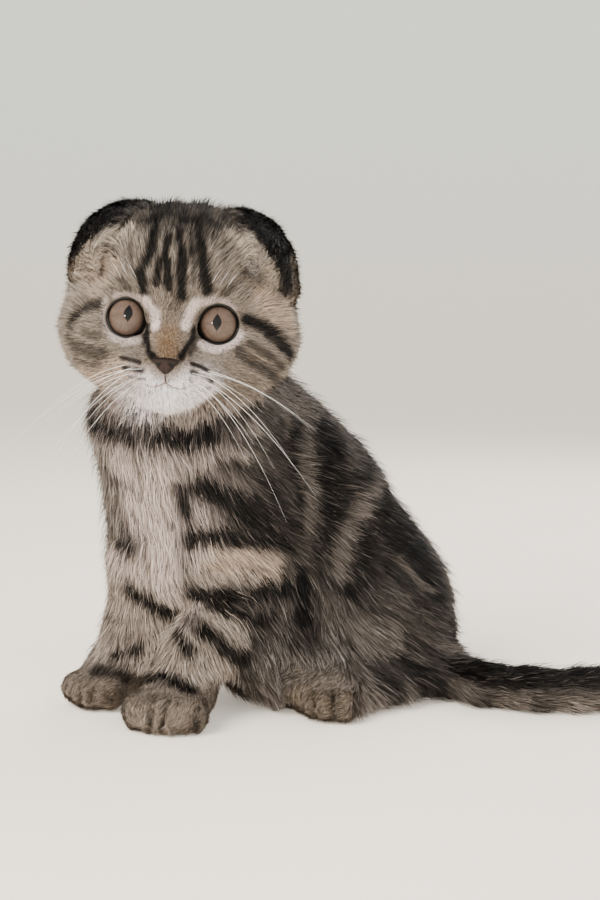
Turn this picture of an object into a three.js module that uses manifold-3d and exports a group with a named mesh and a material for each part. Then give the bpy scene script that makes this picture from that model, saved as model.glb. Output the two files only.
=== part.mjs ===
// A seated Scottish Fold kitten of about ten weeks, as a still life-size museum model.
// Millimetres, +Z up. The kitten looks along -Y, its chest turns a little towards -X, and its
// tail lies along +X. Every surface is the outside of the coat, and the eyes are bare.
import * as THREE from "three";
import { mergeVertices } from "three/addons/utils/BufferGeometryUtils.js";
import Module from "manifold-3d";

const wasm = await Module();
wasm.setup();

// Driving dimensions
const GAP = 0.3; // between nodes that meet
const HEAD_HALF_WIDTH = 43.5; // over the cheeks
const HEAD_SPAN = HEAD_HALF_WIDTH / 43.5; // scales every length in the head
const HEAD_CENTRE = [-42.3, 14, 149];
const HEAD_YAW = 1.5; // degrees, the face turns towards -X
const HEAD_ROLL = 4.5; // degrees, the kitten's left side sinks
const EYE_RADIUS = 8.4 * HEAD_SPAN;
const EYE_OPENING = 6.9 * HEAD_SPAN; // radius of the round between the lids
const EYE_PLACE = [14.9, 20.6, -3.6].map((v) => v * HEAD_SPAN); // across, ahead, up
const EYE_SPLAY = 8; // degrees that each eye looks outwards
const EYE_GAP = 0.35;
const PELVIS = [25, 57, 36];
const PELVIS_TURN = 67; // degrees from -Y towards -X
const CHEST_TURN = 25;
const TAIL_RADIUS = 9.6;

// Grid steps of the surfaces
const FACE_STEP = 3.25;
const HEAD_STEP = 5.4;
const BODY_STEP = 7.0;
const PAW_STEP = 3.4;
const FACE_START = 9; // ahead of the head's centre, where the finer grid takes over

const radians = THREE.MathUtils.degToRad;
const WORLD = [
  [1, 0, 0],
  [0, 1, 0],
  [0, 0, 1],
];

// Axes across, ahead and up of something that faces turn degrees from -Y towards -X.
function facing(turn, roll = 0, pitch = 0) {
  const turned = new THREE.Matrix4().makeRotationZ(-radians(turn));
  turned.multiply(new THREE.Matrix4().makeRotationY(radians(roll)));
  turned.multiply(new THREE.Matrix4().makeRotationX(-radians(pitch)));
  const axis = (x, y, z) => new THREE.Vector3(x, y, z).applyMatrix4(turned).toArray();
  return [axis(1, 0, 0), axis(0, -1, 0), axis(0, 0, 1)];
}

// A place given across, ahead and up of an origin.
function placed([across, ahead, up], origin, axes) {
  return [0, 1, 2].map(
    (i) => origin[i] + across * axes[0][i] + ahead * axes[1][i] + up * axes[2][i],
  );
}

// Near enough the distance to an ellipsoid, negative inside.
function ball(centre, radii, axes = WORLD) {
  const [ra, rb, rc] = radii;
  const [cx, cy, cz] = centre;
  const [[ax, ay, az], [bx, by, bz], [ux, uy, uz]] = axes;
  return (x, y, z) => {
    const dx = x - cx;
    const dy = y - cy;
    const dz = z - cz;
    const a = (dx * ax + dy * ay + dz * az) / ra;
    const b = (dx * bx + dy * by + dz * bz) / rb;
    const c = (dx * ux + dy * uy + dz * uz) / rc;
    const k = Math.sqrt(a * a + b * b + c * c);
    const slope = Math.sqrt((a * a) / (ra * ra) + (b * b) / (rb * rb) + (c * c) / (rc * rc));
    return slope < 1e-9 ? -Math.min(ra, rb, rc) : (k * (k - 1)) / slope;
  };
}

// A rounded limb from one place to another, its radius growing evenly between them.
function limb(from, to, startRadius, endRadius) {
  const way = to.map((v, i) => v - from[i]);
  const length2 = way.reduce((sum, v) => sum + v * v, 0);
  return (x, y, z) => {
    const dx = x - from[0];
    const dy = y - from[1];
    const dz = z - from[2];
    const along = (dx * way[0] + dy * way[1] + dz * way[2]) / length2;
    const t = Math.min(1, Math.max(0, along));
    const ex = dx - t * way[0];
    const ey = dy - t * way[1];
    const ez = dz - t * way[2];
    return Math.sqrt(ex * ex + ey * ey + ez * ez) - startRadius - t * (endRadius - startRadius);
  };
}

// A chain of limbs through places, each [x, y, z, radius].
function chain(stations) {
  return stations
    .slice(1)
    .map((end, i) => limb(stations[i].slice(0, 3), end.slice(0, 3), stations[i][3], end[3]));
}

// Joins fields with a soft fillet of about the width given.
function blended(fields, width) {
  return (x, y, z) => {
    let d = fields[0](x, y, z);
    for (let i = 1; i < fields.length; i++) {
      const e = fields[i](x, y, z);
      const h = Math.max(width - Math.abs(d - e), 0) / width;
      d = Math.min(d, e) - (h * h * width) / 4;
    }
    return d;
  };
}

// Takes a hollow out of a field, with a soft edge of about the width given.
function hollowed(field, hollow, width) {
  return (x, y, z) => {
    const d = field(x, y, z);
    const e = -hollow(x, y, z);
    const h = Math.max(width - Math.abs(d - e), 0) / width;
    return Math.max(d, e) + (h * h * width) / 4;
  };
}

// Corners of a grid cell, the edges between them, and for each pattern of corners inside
// whether one plain sheet passes between the corners inside and those outside.
const CORNERS = [0, 1, 2, 3, 4, 5, 6, 7].map((c) => [c & 1, (c >> 1) & 1, c >> 2]);
const CELL_EDGES = CORNERS.flatMap((_, a) =>
  [1, 2, 4].filter((bit) => !(a & bit)).map((bit) => [a, a | bit]),
);
const PLAIN = Array.from({ length: 256 }, (_, pattern) => {
  const isInside = (c) => (pattern >> c) & 1;
  const group = [0, 1, 2, 3, 4, 5, 6, 7];
  for (let pass = 0; pass < 8; pass++)
    for (const [a, b] of CELL_EDGES)
      if (isInside(a) === isInside(b)) group[a] = group[b] = Math.min(group[a], group[b]);
  return new Set(group).size <= 2;
});

// Fills the faintest open corner of each cell through which two sheets would pass.
function settle(values, [nx, ny, nz]) {
  const at = (i, j, k) => (k * ny + j) * nx + i;
  let changed = true;
  for (let pass = 0; changed && pass < 60; pass++) {
    changed = false;
    for (let k = 1; k < nz - 2; k++)
      for (let j = 1; j < ny - 2; j++)
        for (let i = 1; i < nx - 2; i++) {
          const places = CORNERS.map(([a, b, c]) => at(i + a, j + b, k + c));
          const pattern = places.reduce((sum, n, c) => sum + ((values[n] < 0) << c), 0);
          if (PLAIN[pattern]) continue;
          const open = places.filter((n) => values[n] >= 0);
          const faint = open.reduce((m, n) => (values[n] < values[m] ? n : m));
          values[faint] = -0.1;
          changed = true;
        }
  }
}

// The surface where a field equals level, as a closed mesh with one vertex in each grid cell
// that it crosses, drawn onto the surface along the field's slope.
function surface(field, low, high, step, level = 0) {
  const count = [0, 1, 2].map((i) => Math.ceil((high[i] - low[i]) / step) + 1);
  const [nx, ny, nz] = count;
  const at = (i, j, k) => (k * ny + j) * nx + i;
  const values = new Float64Array(nx * ny * nz);
  for (let k = 0; k < nz; k++)
    for (let j = 0; j < ny; j++)
      for (let i = 0; i < nx; i++) {
        const border = i * j * k === 0 || i === nx - 1 || j === ny - 1 || k === nz - 1;
        const d = field(low[0] + i * step, low[1] + j * step, low[2] + k * step) - level;
        values[at(i, j, k)] = border ? Math.max(d, step / 2) : d;
      }
  settle(values, count);
  const cellOf = new Int32Array(values.length).fill(-1);
  const positions = [];
  for (let k = 0; k < nz - 1; k++)
    for (let j = 0; j < ny - 1; j++)
      for (let i = 0; i < nx - 1; i++) {
        const v = CORNERS.map(([a, b, c]) => values[at(i + a, j + b, k + c)]);
        let crossings = 0;
        const sum = [0, 0, 0];
        for (const [a, b] of CELL_EDGES) {
          if (v[a] < 0 === v[b] < 0) continue;
          const t = v[a] / (v[a] - v[b]);
          for (let m = 0; m < 3; m++)
            sum[m] += CORNERS[a][m] + t * (CORNERS[b][m] - CORNERS[a][m]);
          crossings++;
        }
        if (!crossings) continue;
        cellOf[at(i, j, k)] = positions.length / 3;
        const base = [i, j, k];
        positions.push(...sum.map((s, m) => low[m] + (base[m] + s / crossings) * step));
      }
  drawOnto(positions, field, level, step);
  const triangles = [];
  const quad = (a, b, c, d, flip) => {
    const corner = (n) => new THREE.Vector3().fromArray(positions, 3 * n);
    const [p, q, r, s] = [a, b, c, d].map(corner);
    const ring = flip ? [a, d, c, b] : [a, b, c, d];
    const even = p.distanceTo(r) < q.distanceTo(s);
    const [w, x, y, z] = ring;
    if (even) triangles.push(w, x, y, w, y, z);
    else triangles.push(x, y, z, x, z, w);
  };
  for (let k = 0; k < nz - 1; k++)
    for (let j = 0; j < ny - 1; j++)
      for (let i = 0; i < nx - 1; i++) {
        const here = values[at(i, j, k)] < 0;
        const cell = (a, b, c) => cellOf[at(i - a, j - b, k - c)];
        if (j * k > 0 && here !== values[at(i + 1, j, k)] < 0)
          quad(cell(0, 1, 1), cell(0, 0, 1), cell(0, 0, 0), cell(0, 1, 0), !here);
        if (i * k > 0 && here !== values[at(i, j + 1, k)] < 0)
          quad(cell(1, 0, 1), cell(1, 0, 0), cell(0, 0, 0), cell(0, 0, 1), !here);
        if (i * j > 0 && here !== values[at(i, j, k + 1)] < 0)
          quad(cell(1, 1, 0), cell(0, 1, 0), cell(0, 0, 0), cell(1, 0, 0), !here);
      }
  return new THREE.BufferGeometry()
    .setAttribute("position", new THREE.Float32BufferAttribute(positions, 3))
    .setIndex(triangles);
}

// Moves points onto the surface by two short steps down the field's slope.
function drawOnto(positions, field, level, step) {
  const nudge = step / 20;
  for (let n = 0; n < positions.length; n += 3)
    for (let pass = 0; pass < 2; pass++) {
      const [x, y, z] = positions.slice(n, n + 3);
      const d = field(x, y, z) - level;
      const slope = [
        field(x + nudge, y, z) - field(x - nudge, y, z),
        field(x, y + nudge, z) - field(x, y - nudge, z),
        field(x, y, z + nudge) - field(x, y, z - nudge),
      ].map((v) => v / (2 * nudge));
      const size2 = slope.reduce((sum, v) => sum + v * v, 0);
      if (size2 < 0.04) continue;
      const reach = Math.min(0.4 * step, Math.max(-0.4 * step, d / size2));
      slope.forEach((v, i) => (positions[n + i] -= reach * v));
    }
}

// A three.js geometry as a manifold solid.
function solid(geometry) {
  const bare = geometry.clone();
  for (const name of ["normal", "uv"]) bare.deleteAttribute(name);
  const merged = mergeVertices(bare, 1e-4);
  return new wasm.Manifold(
    new wasm.Mesh({
      numProp: 3,
      vertProperties: new Float32Array(merged.attributes.position.array),
      triVerts: new Uint32Array(merged.index.array),
    }),
  );
}

// The largest closed surface of a solid.
function largest(made) {
  return made.decompose().reduce((a, b) => (a.volume() > b.volume() ? a : b));
}

function geometryOf(made) {
  const mesh = made.getMesh();
  return new THREE.BufferGeometry()
    .setAttribute("position", new THREE.BufferAttribute(mesh.vertProperties, 3))
    .setIndex(new THREE.BufferAttribute(mesh.triVerts, 1));
}

// A block with its axes along across, ahead and up.
function block(size, centre, axes = WORLD) {
  const basis = new THREE.Matrix4().makeBasis(...axes.map((a) => new THREE.Vector3(...a)));
  if (basis.determinant() < 0) basis.scale(new THREE.Vector3(-1, 1, 1));
  basis.setPosition(...centre);
  return solid(new THREE.BoxGeometry(...size).applyMatrix4(basis));
}

// Head
const HEAD_AXES = facing(HEAD_YAW, HEAD_ROLL);
const onHead = (place) => placed(place, HEAD_CENTRE, HEAD_AXES);
const headBall = (place, radii) =>
  ball(
    onHead(place.map((v) => v * HEAD_SPAN)),
    radii.map((v) => v * HEAD_SPAN),
    HEAD_AXES,
  );
const headPair = ([across, ...rest], radii) =>
  [1, -1].map((side) => headBall([side * across, ...rest], radii));
const headLimb = (from, to, startRadius, endRadius) =>
  limb(
    onHead(from.map((v) => v * HEAD_SPAN)),
    onHead(to.map((v) => v * HEAD_SPAN)),
    startRadius * HEAD_SPAN,
    endRadius * HEAD_SPAN,
  );

const skull = blended(
  [
    headBall([0, -4, 5], [35.5, 35, 32]), // braincase
    headBall([0, 9, 11], [28, 23, 21]), // forehead
    ...headPair([22, 2, -8], [21, 24, 20]), // cheeks
    ...headPair([17, 13, -15], [15, 14, 13]), // fronts of the cheeks
    headBall([0, -2, -18], [29, 26, 18]), // jowls and throat
  ],
  9,
);
const sockets = headPair([18, 37, -2], [9, 10, 9]);
const browed = sockets.reduce((face, socket) => hollowed(face, socket, 7), skull);
const earBowls = headPair([27, 17, 20], [5, 7, 5]);
const cupped = earBowls.reduce((face, bowl) => hollowed(face, bowl, 3), browed);
const muzzle = blended(
  [
    headLimb([0, 20, 2], [0, 33.5, -15], 8.5, 5.4), // bridge of the nose
    ...headPair([7.6, 25, -22], [10.5, 10, 7.6]), // whisker pads
    headBall([0, 23.4, -29.2], [9.5, 9.6, 6.2]), // chin
    headBall([0, 33.8, -17.8], [5.4, 4.8, 3.9]), // nose leather
    headLimb([-3.5, 31, -26.9], [3.5, 31, -26.9], 1.8, 1.8), // lower lip
  ],
  3.6,
);
const lids = [1, -1].map((side) =>
  ball(
    onHead([side * EYE_PLACE[0], EYE_PLACE[1], EYE_PLACE[2]]),
    [1.25, 1.2, 1.25].map((v) => v + EYE_RADIUS),
    HEAD_AXES,
  ),
);
const headField = blended([cupped, muzzle, ...lids], 4.5);

// Body, in the kitten's own pose
const PELVIS_AXES = facing(PELVIS_TURN);
const CHEST_AXES = facing(CHEST_TURN);
const hip = (place) => placed(place, PELVIS, PELVIS_AXES);

const TRUNK = [
  ball([-45, 24, 111], [36, 28, 24], CHEST_AXES), // ruff of the neck
  ball([-43, 32, 85], [33, 26, 37], CHEST_AXES), // chest
  ball([-43, 31, 52], [15, 15, 22], CHEST_AXES), // long fur between the forelegs
  ball([-16, 46, 96], [28, 25, 30]), // withers
  ball([0, 50, 72], [30, 28, 36]), // back
  ball([-33, 48, 119], [22, 21, 18]), // nape
  ball([9, 54, 66], [26, 26, 30]), // small of the back
  ball([37, 57, 24], [22, 24, 22]), // root of the tail
  ball([-12, 44, 36], [31, 25, 35]), // belly
  ball([-5, 27, 18], [24, 17, 18]), // hanging fur of the belly
  ball(PELVIS, [30, 34, 37], PELVIS_AXES), // rump
];
const FORELEGS = {
  left: [
    [-17, 28, 84, 17],
    [-17, 29, 54, 15],
    [-36, 13, 26, 12],
    [-43, 8, 13, 11],
  ],
  right: [
    [-60, 42, 86, 17],
    [-59, 43, 54, 15],
    [-62.5, 37, 26, 13.5],
    [-69, 33, 13, 12],
  ],
};
const PAWS = {
  forepaw_left: { centre: [-46, 4, 8.5], turn: 14, width: 33, length: 31 },
  forepaw_right: { centre: [-73.5, 31, 8.5], turn: 32, width: 28, length: 30 },
  hindpaw_left: { centre: hip([33, 26, -27.5]), turn: 38, width: 28, length: 30 },
  hindpaw_right: { centre: hip([-29, 26, -27.5]), turn: 80, width: 28, length: 30 },
};
const TOES = 4;

// A paw with its toes in an arc, blended tightly so that the clefts between them stay.
function paw({ centre, turn, width, length }) {
  const axes = facing(turn);
  const floorOf = (across, ahead, up) =>
    placed([across, ahead, up - centre[2]], centre, axes);
  const toeRadius = width / 5.2;
  const parts = [ball(floorOf(0, -4, 8.5), [width * 0.44, length * 0.46, 10.5], axes)];
  for (let toe = 0; toe < TOES; toe++) {
    const share = toe / (TOES - 1) - 0.5;
    const across = share * (width - 2 * toeRadius);
    const ahead = length * (0.36 - 0.42 * share * share);
    const radii = [toeRadius, toeRadius * 1.25, toeRadius * 1.22];
    parts.push(ball(floorOf(across, ahead, 6.8), radii, axes));
  }
  return blended(parts, 1.6);
}

function hindLeg(side) {
  const foot = side > 0 ? 33 : 29;
  return [
    ball(hip([side * 18, 8, -6]), [16, 28, 28], PELVIS_AXES), // thigh
    limb(hip([side * (foot - 4), -14, -26]), hip([side * foot, 20, -27]), 9.5, 9.5), // foot
  ];
}

const TAIL_STATIONS = [
  [40, 56, 16, 11],
  [57, 40, 9, 9.5],
  [68, 28, 8, TAIL_RADIUS * 0.9],
  [84, 21, 8, TAIL_RADIUS * 0.9],
  [104, 20, 8, TAIL_RADIUS * 0.9],
  [122, 25, 7.6, TAIL_RADIUS * 0.86],
  [137, 35, 7, TAIL_RADIUS * 0.78],
  [146, 46, 5.6, TAIL_RADIUS * 0.56],
];

const bodyField = blended(
  [
    blended(TRUNK, 16),
    blended([...hindLeg(1), ...hindLeg(-1)], 7),
    blended(chain(FORELEGS.left), 6),
    blended(chain(FORELEGS.right), 6),
    blended(chain(TAIL_STATIONS), 5),
    ...Object.values(PAWS).map(paw),
  ],
  5,
);

// Eyes and the openings of the lids
const eyeAxes = (side) => facing(HEAD_YAW - side * EYE_SPLAY, HEAD_ROLL);
const eyeCentre = (side) => onHead([side * EYE_PLACE[0], EYE_PLACE[1], EYE_PLACE[2]]);

// An eyeball with its clear bulge in front, grown all round for the socket that holds it.
function eyeball(side, grow = 0) {
  const BULGE = 0.9;
  const BULGE_START = 0.55;
  const steps = 12;
  const profile = [];
  for (let i = 0; i <= steps; i++) {
    const angle = (Math.PI * i) / steps;
    const front = Math.max(0, Math.cos(angle) - BULGE_START) / (1 - BULGE_START);
    const radius = EYE_RADIUS + grow + BULGE * front * front * (3 - 2 * front);
    profile.push(new THREE.Vector2(radius * Math.sin(angle), -radius * Math.cos(angle)));
  }
  profile[0].x = 0;
  profile[steps].x = 0;
  return solid(aimed(new THREE.LatheGeometry(profile, 18), side));
}

// Turns a shape that looks along -Y at the origin into an eye's place.
function aimed(geometry, side) {
  const [across, ahead, up] = eyeAxes(side).map((a) => new THREE.Vector3(...a));
  const basis = new THREE.Matrix4().makeBasis(across, ahead.negate(), up);
  return geometry.clone().applyMatrix4(basis.setPosition(...eyeCentre(side)));
}

// The round between the lids, drawn out a little at the corner by the nose.
function lidOpening(side) {
  const outline = new THREE.Shape();
  const steps = 22;
  for (let i = 0; i < steps; i++) {
    const angle = (2 * Math.PI * i) / steps;
    const towardsNose = Math.cos(angle - radians(side > 0 ? 208 : -28));
    const corner = Math.max(0, (towardsNose - 0.8) / 0.2);
    const radius = EYE_OPENING * (1 + 0.2 * corner * corner);
    const point = [radius * Math.cos(angle), radius * 0.98 * Math.sin(angle)];
    if (i === 0) outline.moveTo(...point);
    else outline.lineTo(...point);
  }
  const tube = new THREE.ExtrudeGeometry(outline, { depth: 20, bevelEnabled: false });
  tube.rotateX(Math.PI / 2);
  return solid(aimed(tube, side));
}

// The place on the face that lies at a distance across and up, sunk by some depth.
function onFace(across, up, depth = 0) {
  let ahead = 50;
  while (ahead > 0 && headField(...onHead([across, ahead, up])) > 0) ahead -= 0.05;
  return onHead([across, ahead - depth, up]);
}

// A rod that follows places on the face, to be sunk into it or laid on it.
function rod(places, radius, depth) {
  const curve = new THREE.CatmullRomCurve3(
    places.map(([across, up]) => new THREE.Vector3(...onFace(across, up, depth))),
  );
  const outline = new THREE.Shape().absarc(0, 0, radius, 0, 2 * Math.PI);
  const options = { extrudePath: curve, steps: 3 * places.length, curveSegments: 3 };
  return solid(new THREE.ExtrudeGeometry(outline, options));
}

// Thick edge of the lids round an eye.
function lidRim(side) {
  const rim = new THREE.TorusGeometry(EYE_OPENING + 0.75, 0.85, 5, 22);
  rim.rotateX(Math.PI / 2).translate(0, -Math.sqrt(EYE_RADIUS ** 2 - EYE_OPENING ** 2) - 0.9, 0);
  return solid(aimed(rim, side));
}

const MOUTH = [
  [-8.2, -25],
  [-5.2, -26.1],
  [-2.4, -25.7],
  [0, -24.3],
  [2.4, -25.7],
  [5.2, -26.1],
  [8.2, -25],
];
const PHILTRUM = [
  [0, -21],
  [0, -22.6],
  [0, -24.3],
];
const nostril = (side) => [
  [side * 1.9, -19.9],
  [side * 3, -19.2],
  [side * 4.3, -19.5],
];

const HEAD_BOX = [HEAD_CENTRE.map((v) => v - 50), HEAD_CENTRE.map((v) => v + 50)];
const head = (() => {
  const SEAM = 0.4;
  const faceCentre = onHead([0, FACE_START + 50, 0]);
  const backCentre = onHead([0, FACE_START + SEAM - 50, 0]);
  const face = solid(surface(headField, ...HEAD_BOX, FACE_STEP));
  const back = solid(surface(headField, ...HEAD_BOX, HEAD_STEP));
  return face
    .intersect(block([100, 100, 120], faceCentre, HEAD_AXES))
    .add(back.intersect(block([100, 100, 120], backCentre, HEAD_AXES)));
})();

// What the head's neighbours leave free for it.
const COVER_SLACK = 0.35; // the coarser grid cuts corners
const headCover = solid(surface(headField, ...HEAD_BOX, HEAD_STEP, GAP + COVER_SLACK));

function carvedHead() {
  let made = head.add(lidRim(1)).add(lidRim(-1));
  for (const side of [1, -1]) {
    made = made.subtract(eyeball(side, EYE_GAP)).subtract(lidOpening(side));
    made = made.subtract(rod(nostril(side), 0.8, 0.1));
  }
  return largest(made.subtract(rod(MOUTH, 0.6, 0)).subtract(rod(PHILTRUM, 0.5, 0)));
}

// Ears: a folded flap whose edge curls forward over the head
const EAR = {
  medial: 17, // degrees from the top of the head, where the flap begins
  lateral: 84,
  back: -20, // degrees behind the crown line, where it is rooted
  reach: 45, // degrees ahead of the crown line, at the tip
  lift: 6,
  thickness: 1.7,
};

// How far the bare skull reaches from the head's centre in a direction.
function headRadius(direction) {
  let inside = 0;
  let outside = 70;
  for (let i = 0; i < 30; i++) {
    const middle = (inside + outside) / 2;
    const p = HEAD_CENTRE.map((v, m) => v + middle * direction[m]);
    if (skull(...p) < 0) inside = middle;
    else outside = middle;
  }
  return inside;
}

function earFlap(side) {
  const across = 11;
  const along = 9;
  const rows = [];
  for (let i = 0; i <= across; i++) {
    const s = i / across;
    const swing = radians(EAR.medial + s * (EAR.lateral - EAR.medial));
    const bow = Math.sin(Math.PI * s) ** 0.6;
    const tongue = Math.exp(-(((s - 0.64) / 0.34) ** 2));
    for (let j = 0; j <= along; j++) {
      const t = j / along;
      const reach = EAR.reach * (0.55 + 0.45 * tongue) * (0.3 + 0.7 * bow);
      const lean = radians(EAR.back + t * (reach - EAR.back));
      const hump = Math.sin(Math.PI * Math.min(1, t * 1.04) ** 0.8);
      const lift = -3 + (3 + EAR.lift) * (0.12 + 0.88 * hump) * (0.15 + 0.85 * bow) + 3.4 * t * bow;
      const local = [
        side * Math.sin(swing) * Math.cos(lean),
        Math.sin(lean),
        Math.cos(swing) * Math.cos(lean),
      ];
      const direction = placed(local, [0, 0, 0], HEAD_AXES);
      rows.push({ direction, radius: headRadius(direction) + lift });
    }
  }
  const flap = shell(rows, across, along, EAR.thickness / 2, side);
  return largest(flap.subtract(solid(surface(headField, ...HEAD_BOX, FACE_STEP, GAP))));
}

// A closed shell about a grid of places on the head, thick to both sides.
function shell(rows, across, along, half, side) {
  const positions = [];
  for (const offset of [half, -half])
    for (const { direction, radius } of rows)
      positions.push(...HEAD_CENTRE.map((v, m) => v + (radius + offset) * direction[m]));
  const layer = (across + 1) * (along + 1);
  const at = (i, j, under) => under * layer + i * (along + 1) + j;
  const triangles = [];
  const quad = (a, b, c, d) => {
    if (side > 0) triangles.push(a, b, c, a, c, d);
    else triangles.push(a, c, b, a, d, c);
  };
  for (let i = 0; i < across; i++)
    for (let j = 0; j < along; j++) {
      quad(at(i, j, 0), at(i, j + 1, 0), at(i + 1, j + 1, 0), at(i + 1, j, 0));
      quad(at(i, j, 1), at(i + 1, j, 1), at(i + 1, j + 1, 1), at(i, j + 1, 1));
    }
  for (let i = 0; i < across; i++) {
    quad(at(i, 0, 0), at(i + 1, 0, 0), at(i + 1, 0, 1), at(i, 0, 1));
    quad(at(i, along, 0), at(i, along, 1), at(i + 1, along, 1), at(i + 1, along, 0));
  }
  for (let j = 0; j < along; j++) {
    quad(at(0, j, 0), at(0, j, 1), at(0, j + 1, 1), at(0, j + 1, 0));
    quad(at(across, j, 0), at(across, j + 1, 0), at(across, j + 1, 1), at(across, j, 1));
  }
  return solid(
    new THREE.BufferGeometry()
      .setAttribute("position", new THREE.Float32BufferAttribute(positions, 3))
      .setIndex(triangles),
  );
}

// Body, cut into its nodes by blocks that are given by two opposite corners
const FLOOR = block([600, 600, 100], [0, 0, -50]);
const bodyLow = [-104, -36, -14];
const bodyHigh = [170, 122, 150];
const trimmed = (made) => made.subtract(headCover).subtract(FLOOR);
let rest = trimmed(solid(surface(bodyField, bodyLow, bodyHigh, BODY_STEP)));

// A frame of axes stands at an origin: across, ahead and up.
const GROUND = { axes: WORLD, origin: [0, 0, 0] };
const HIPS = { axes: PELVIS_AXES, origin: PELVIS };

// The frame of a limb: up runs along it, and ahead points away from what lies behind it.
function limbFrame(from, to, behind) {
  const up = new THREE.Vector3(...to).sub(new THREE.Vector3(...from)).normalize();
  const ahead = new THREE.Vector3(...behind).negate().projectOnPlane(up).normalize();
  const across = new THREE.Vector3().crossVectors(up, ahead).negate();
  return { axes: [across, ahead, up].map((axis) => axis.toArray()), origin: from };
}

// A block between two opposite corners in a frame, grown all round.
function region(low, high, { axes, origin }, grow = 0) {
  const size = low.map((v, i) => high[i] - v + 2 * grow);
  const middle = low.map((v, i) => (v + high[i]) / 2);
  return block(size, placed(middle, origin, axes), axes);
}

// Takes the part of the body inside a region out as a node, the gap left open round it.
function take(low, high, frame = GROUND) {
  const taken = rest.intersect(region(low, high, frame));
  rest = rest.subtract(region(low, high, frame, GAP));
  return largest(taken);
}

// A paw on the finer grid, in the place of the part of the body inside its region.
function takePaw(low, high, frame = GROUND) {
  take(low, high, frame);
  const box = region(low, high, frame);
  const { min, max } = box.boundingBox();
  const margin = 3 * PAW_STEP;
  const from = min.map((v) => v - margin);
  const to = max.map((v) => v + margin);
  return largest(trimmed(solid(surface(bodyField, from, to, PAW_STEP))).intersect(box));
}

const nodes = {};
nodes.forepaw_left = takePaw([-68, -30, -1], [-24, 24, 17]);
nodes.forepaw_right = takePaw([-100, 8, -1], [-55, 48, 17]);
nodes.hindpaw_left = takePaw([18, 24, -38], [60, 48, -14], HIPS);
nodes.hindpaw_right = takePaw([-60, 24, -38], [-14, 48, -14], HIPS);
nodes.tail_tip = take([112, -5, -1], [165, 70, 30]);
nodes.tail_middle = take([86, -5, -1], [112 - GAP, 60, 30]);
nodes.tail_base = take([60, 0, -1], [86 - GAP, 60, 28]);
nodes.hindleg_left = take([15, -36, -38], [70, 60, 22], HIPS);
nodes.hindleg_right = take([-70, -36, -38], [-15, 60, 22], HIPS);
const [, elbow, wrist] = FORELEGS.left;
const forearm = limbFrame(wrist.slice(0, 3), elbow.slice(0, 3), [0.5, 0.5, -0.7]);
nodes.foreleg_left = take([-22, -12, -26], [22, 24, 46], forearm);
nodes.foreleg_right = take([-100, 8, -1], [-46, 62, 62]);
nodes.neck = take([-100, -30, 102], [60, 110, 150]);
nodes.torso = largest(rest);

nodes.head = carvedHead();
nodes.eye_left = eyeball(1);
nodes.eye_right = eyeball(-1);
nodes.ear_left = earFlap(1);
nodes.ear_right = earFlap(-1);

// The model stands with the middle of its box over the origin and its feet on z = 0.
const boxes = Object.values(nodes).map((made) => made.boundingBox());
const least = (i) => Math.min(...boxes.map(({ min }) => min[i]));
const most = (i) => Math.max(...boxes.map(({ max }) => max[i]));
const shift = [-(least(0) + most(0)) / 2, -(least(1) + most(1)) / 2, -least(2)];

const COAT = { color: 0x8d8175, roughness: 0.9, metalness: 0 };
const EAR_BACK = { color: 0x4a423c, roughness: 0.9, metalness: 0 };
const EYE = { color: 0x9a7f6c, roughness: 0.1, metalness: 0 };
const looks = { eye_left: EYE, eye_right: EYE, ear_left: EAR_BACK, ear_right: EAR_BACK };

const group = new THREE.Group();
for (const [name, made] of Object.entries(nodes)) {
  const material = new THREE.MeshStandardMaterial(looks[name] ?? COAT);
  const mesh = new THREE.Mesh(geometryOf(made).translate(...shift), material);
  mesh.name = name;
  group.add(mesh);
}
export default group;
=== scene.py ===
"""Looks of the seated Scottish Fold kitten: skin, coat, eyes, nose, mouth, whiskers and light.

Lengths are in millimetres in the sculptor's frame, where the floor is z = 0, the camera looks
along +Y, and x = 0 is the middle of the picture. Meshes are written in metres in the row frame.
"""

import math

import bmesh
import bpy
import numpy as np
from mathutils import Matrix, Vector
from mathutils.bvhtree import BVHTree
from mathutils.kdtree import KDTree


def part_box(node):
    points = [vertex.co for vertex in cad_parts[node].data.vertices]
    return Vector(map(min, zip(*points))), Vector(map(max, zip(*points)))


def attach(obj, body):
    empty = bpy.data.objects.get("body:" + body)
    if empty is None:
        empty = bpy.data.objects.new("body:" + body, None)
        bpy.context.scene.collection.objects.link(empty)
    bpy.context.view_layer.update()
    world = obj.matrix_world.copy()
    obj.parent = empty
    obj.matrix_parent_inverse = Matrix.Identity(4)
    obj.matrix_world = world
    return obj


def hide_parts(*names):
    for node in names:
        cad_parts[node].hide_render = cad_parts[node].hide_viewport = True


# Camera of the photo
CAMERA_PLACE = np.array([0.0, -475.0, 150.0])
CAMERA_PITCH = math.radians(6.0)
FOCAL_PX = 1358.0
PICTURE = (600, 900)
SENSOR = 36.0

# Head of the kitten
HEAD_CENTRE = np.array([-42.3, 14.0, 149.0])
HEAD_YAW = 1.5
HEAD_ROLL = 4.5
EYE_PLACE = (14.9, 20.6, -3.6)
EYE_SPLAY = 8.0
EYE_RADIUS = 8.4
EYE_OPENING = 6.9
CORNEA_BULGE = 0.9
LID_HALF = 0.6
CORNEA_REACH = 0.45  # how much further ahead the cornea takes the middle of an eye's box
IRIS_EDGE = (5.3, 6.3)
PUPIL_HALF = (1.5, 2.9)
PUPIL_PLACE = {1: (-0.71, 0.64), -1: (1.47, 1.52)}

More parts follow.
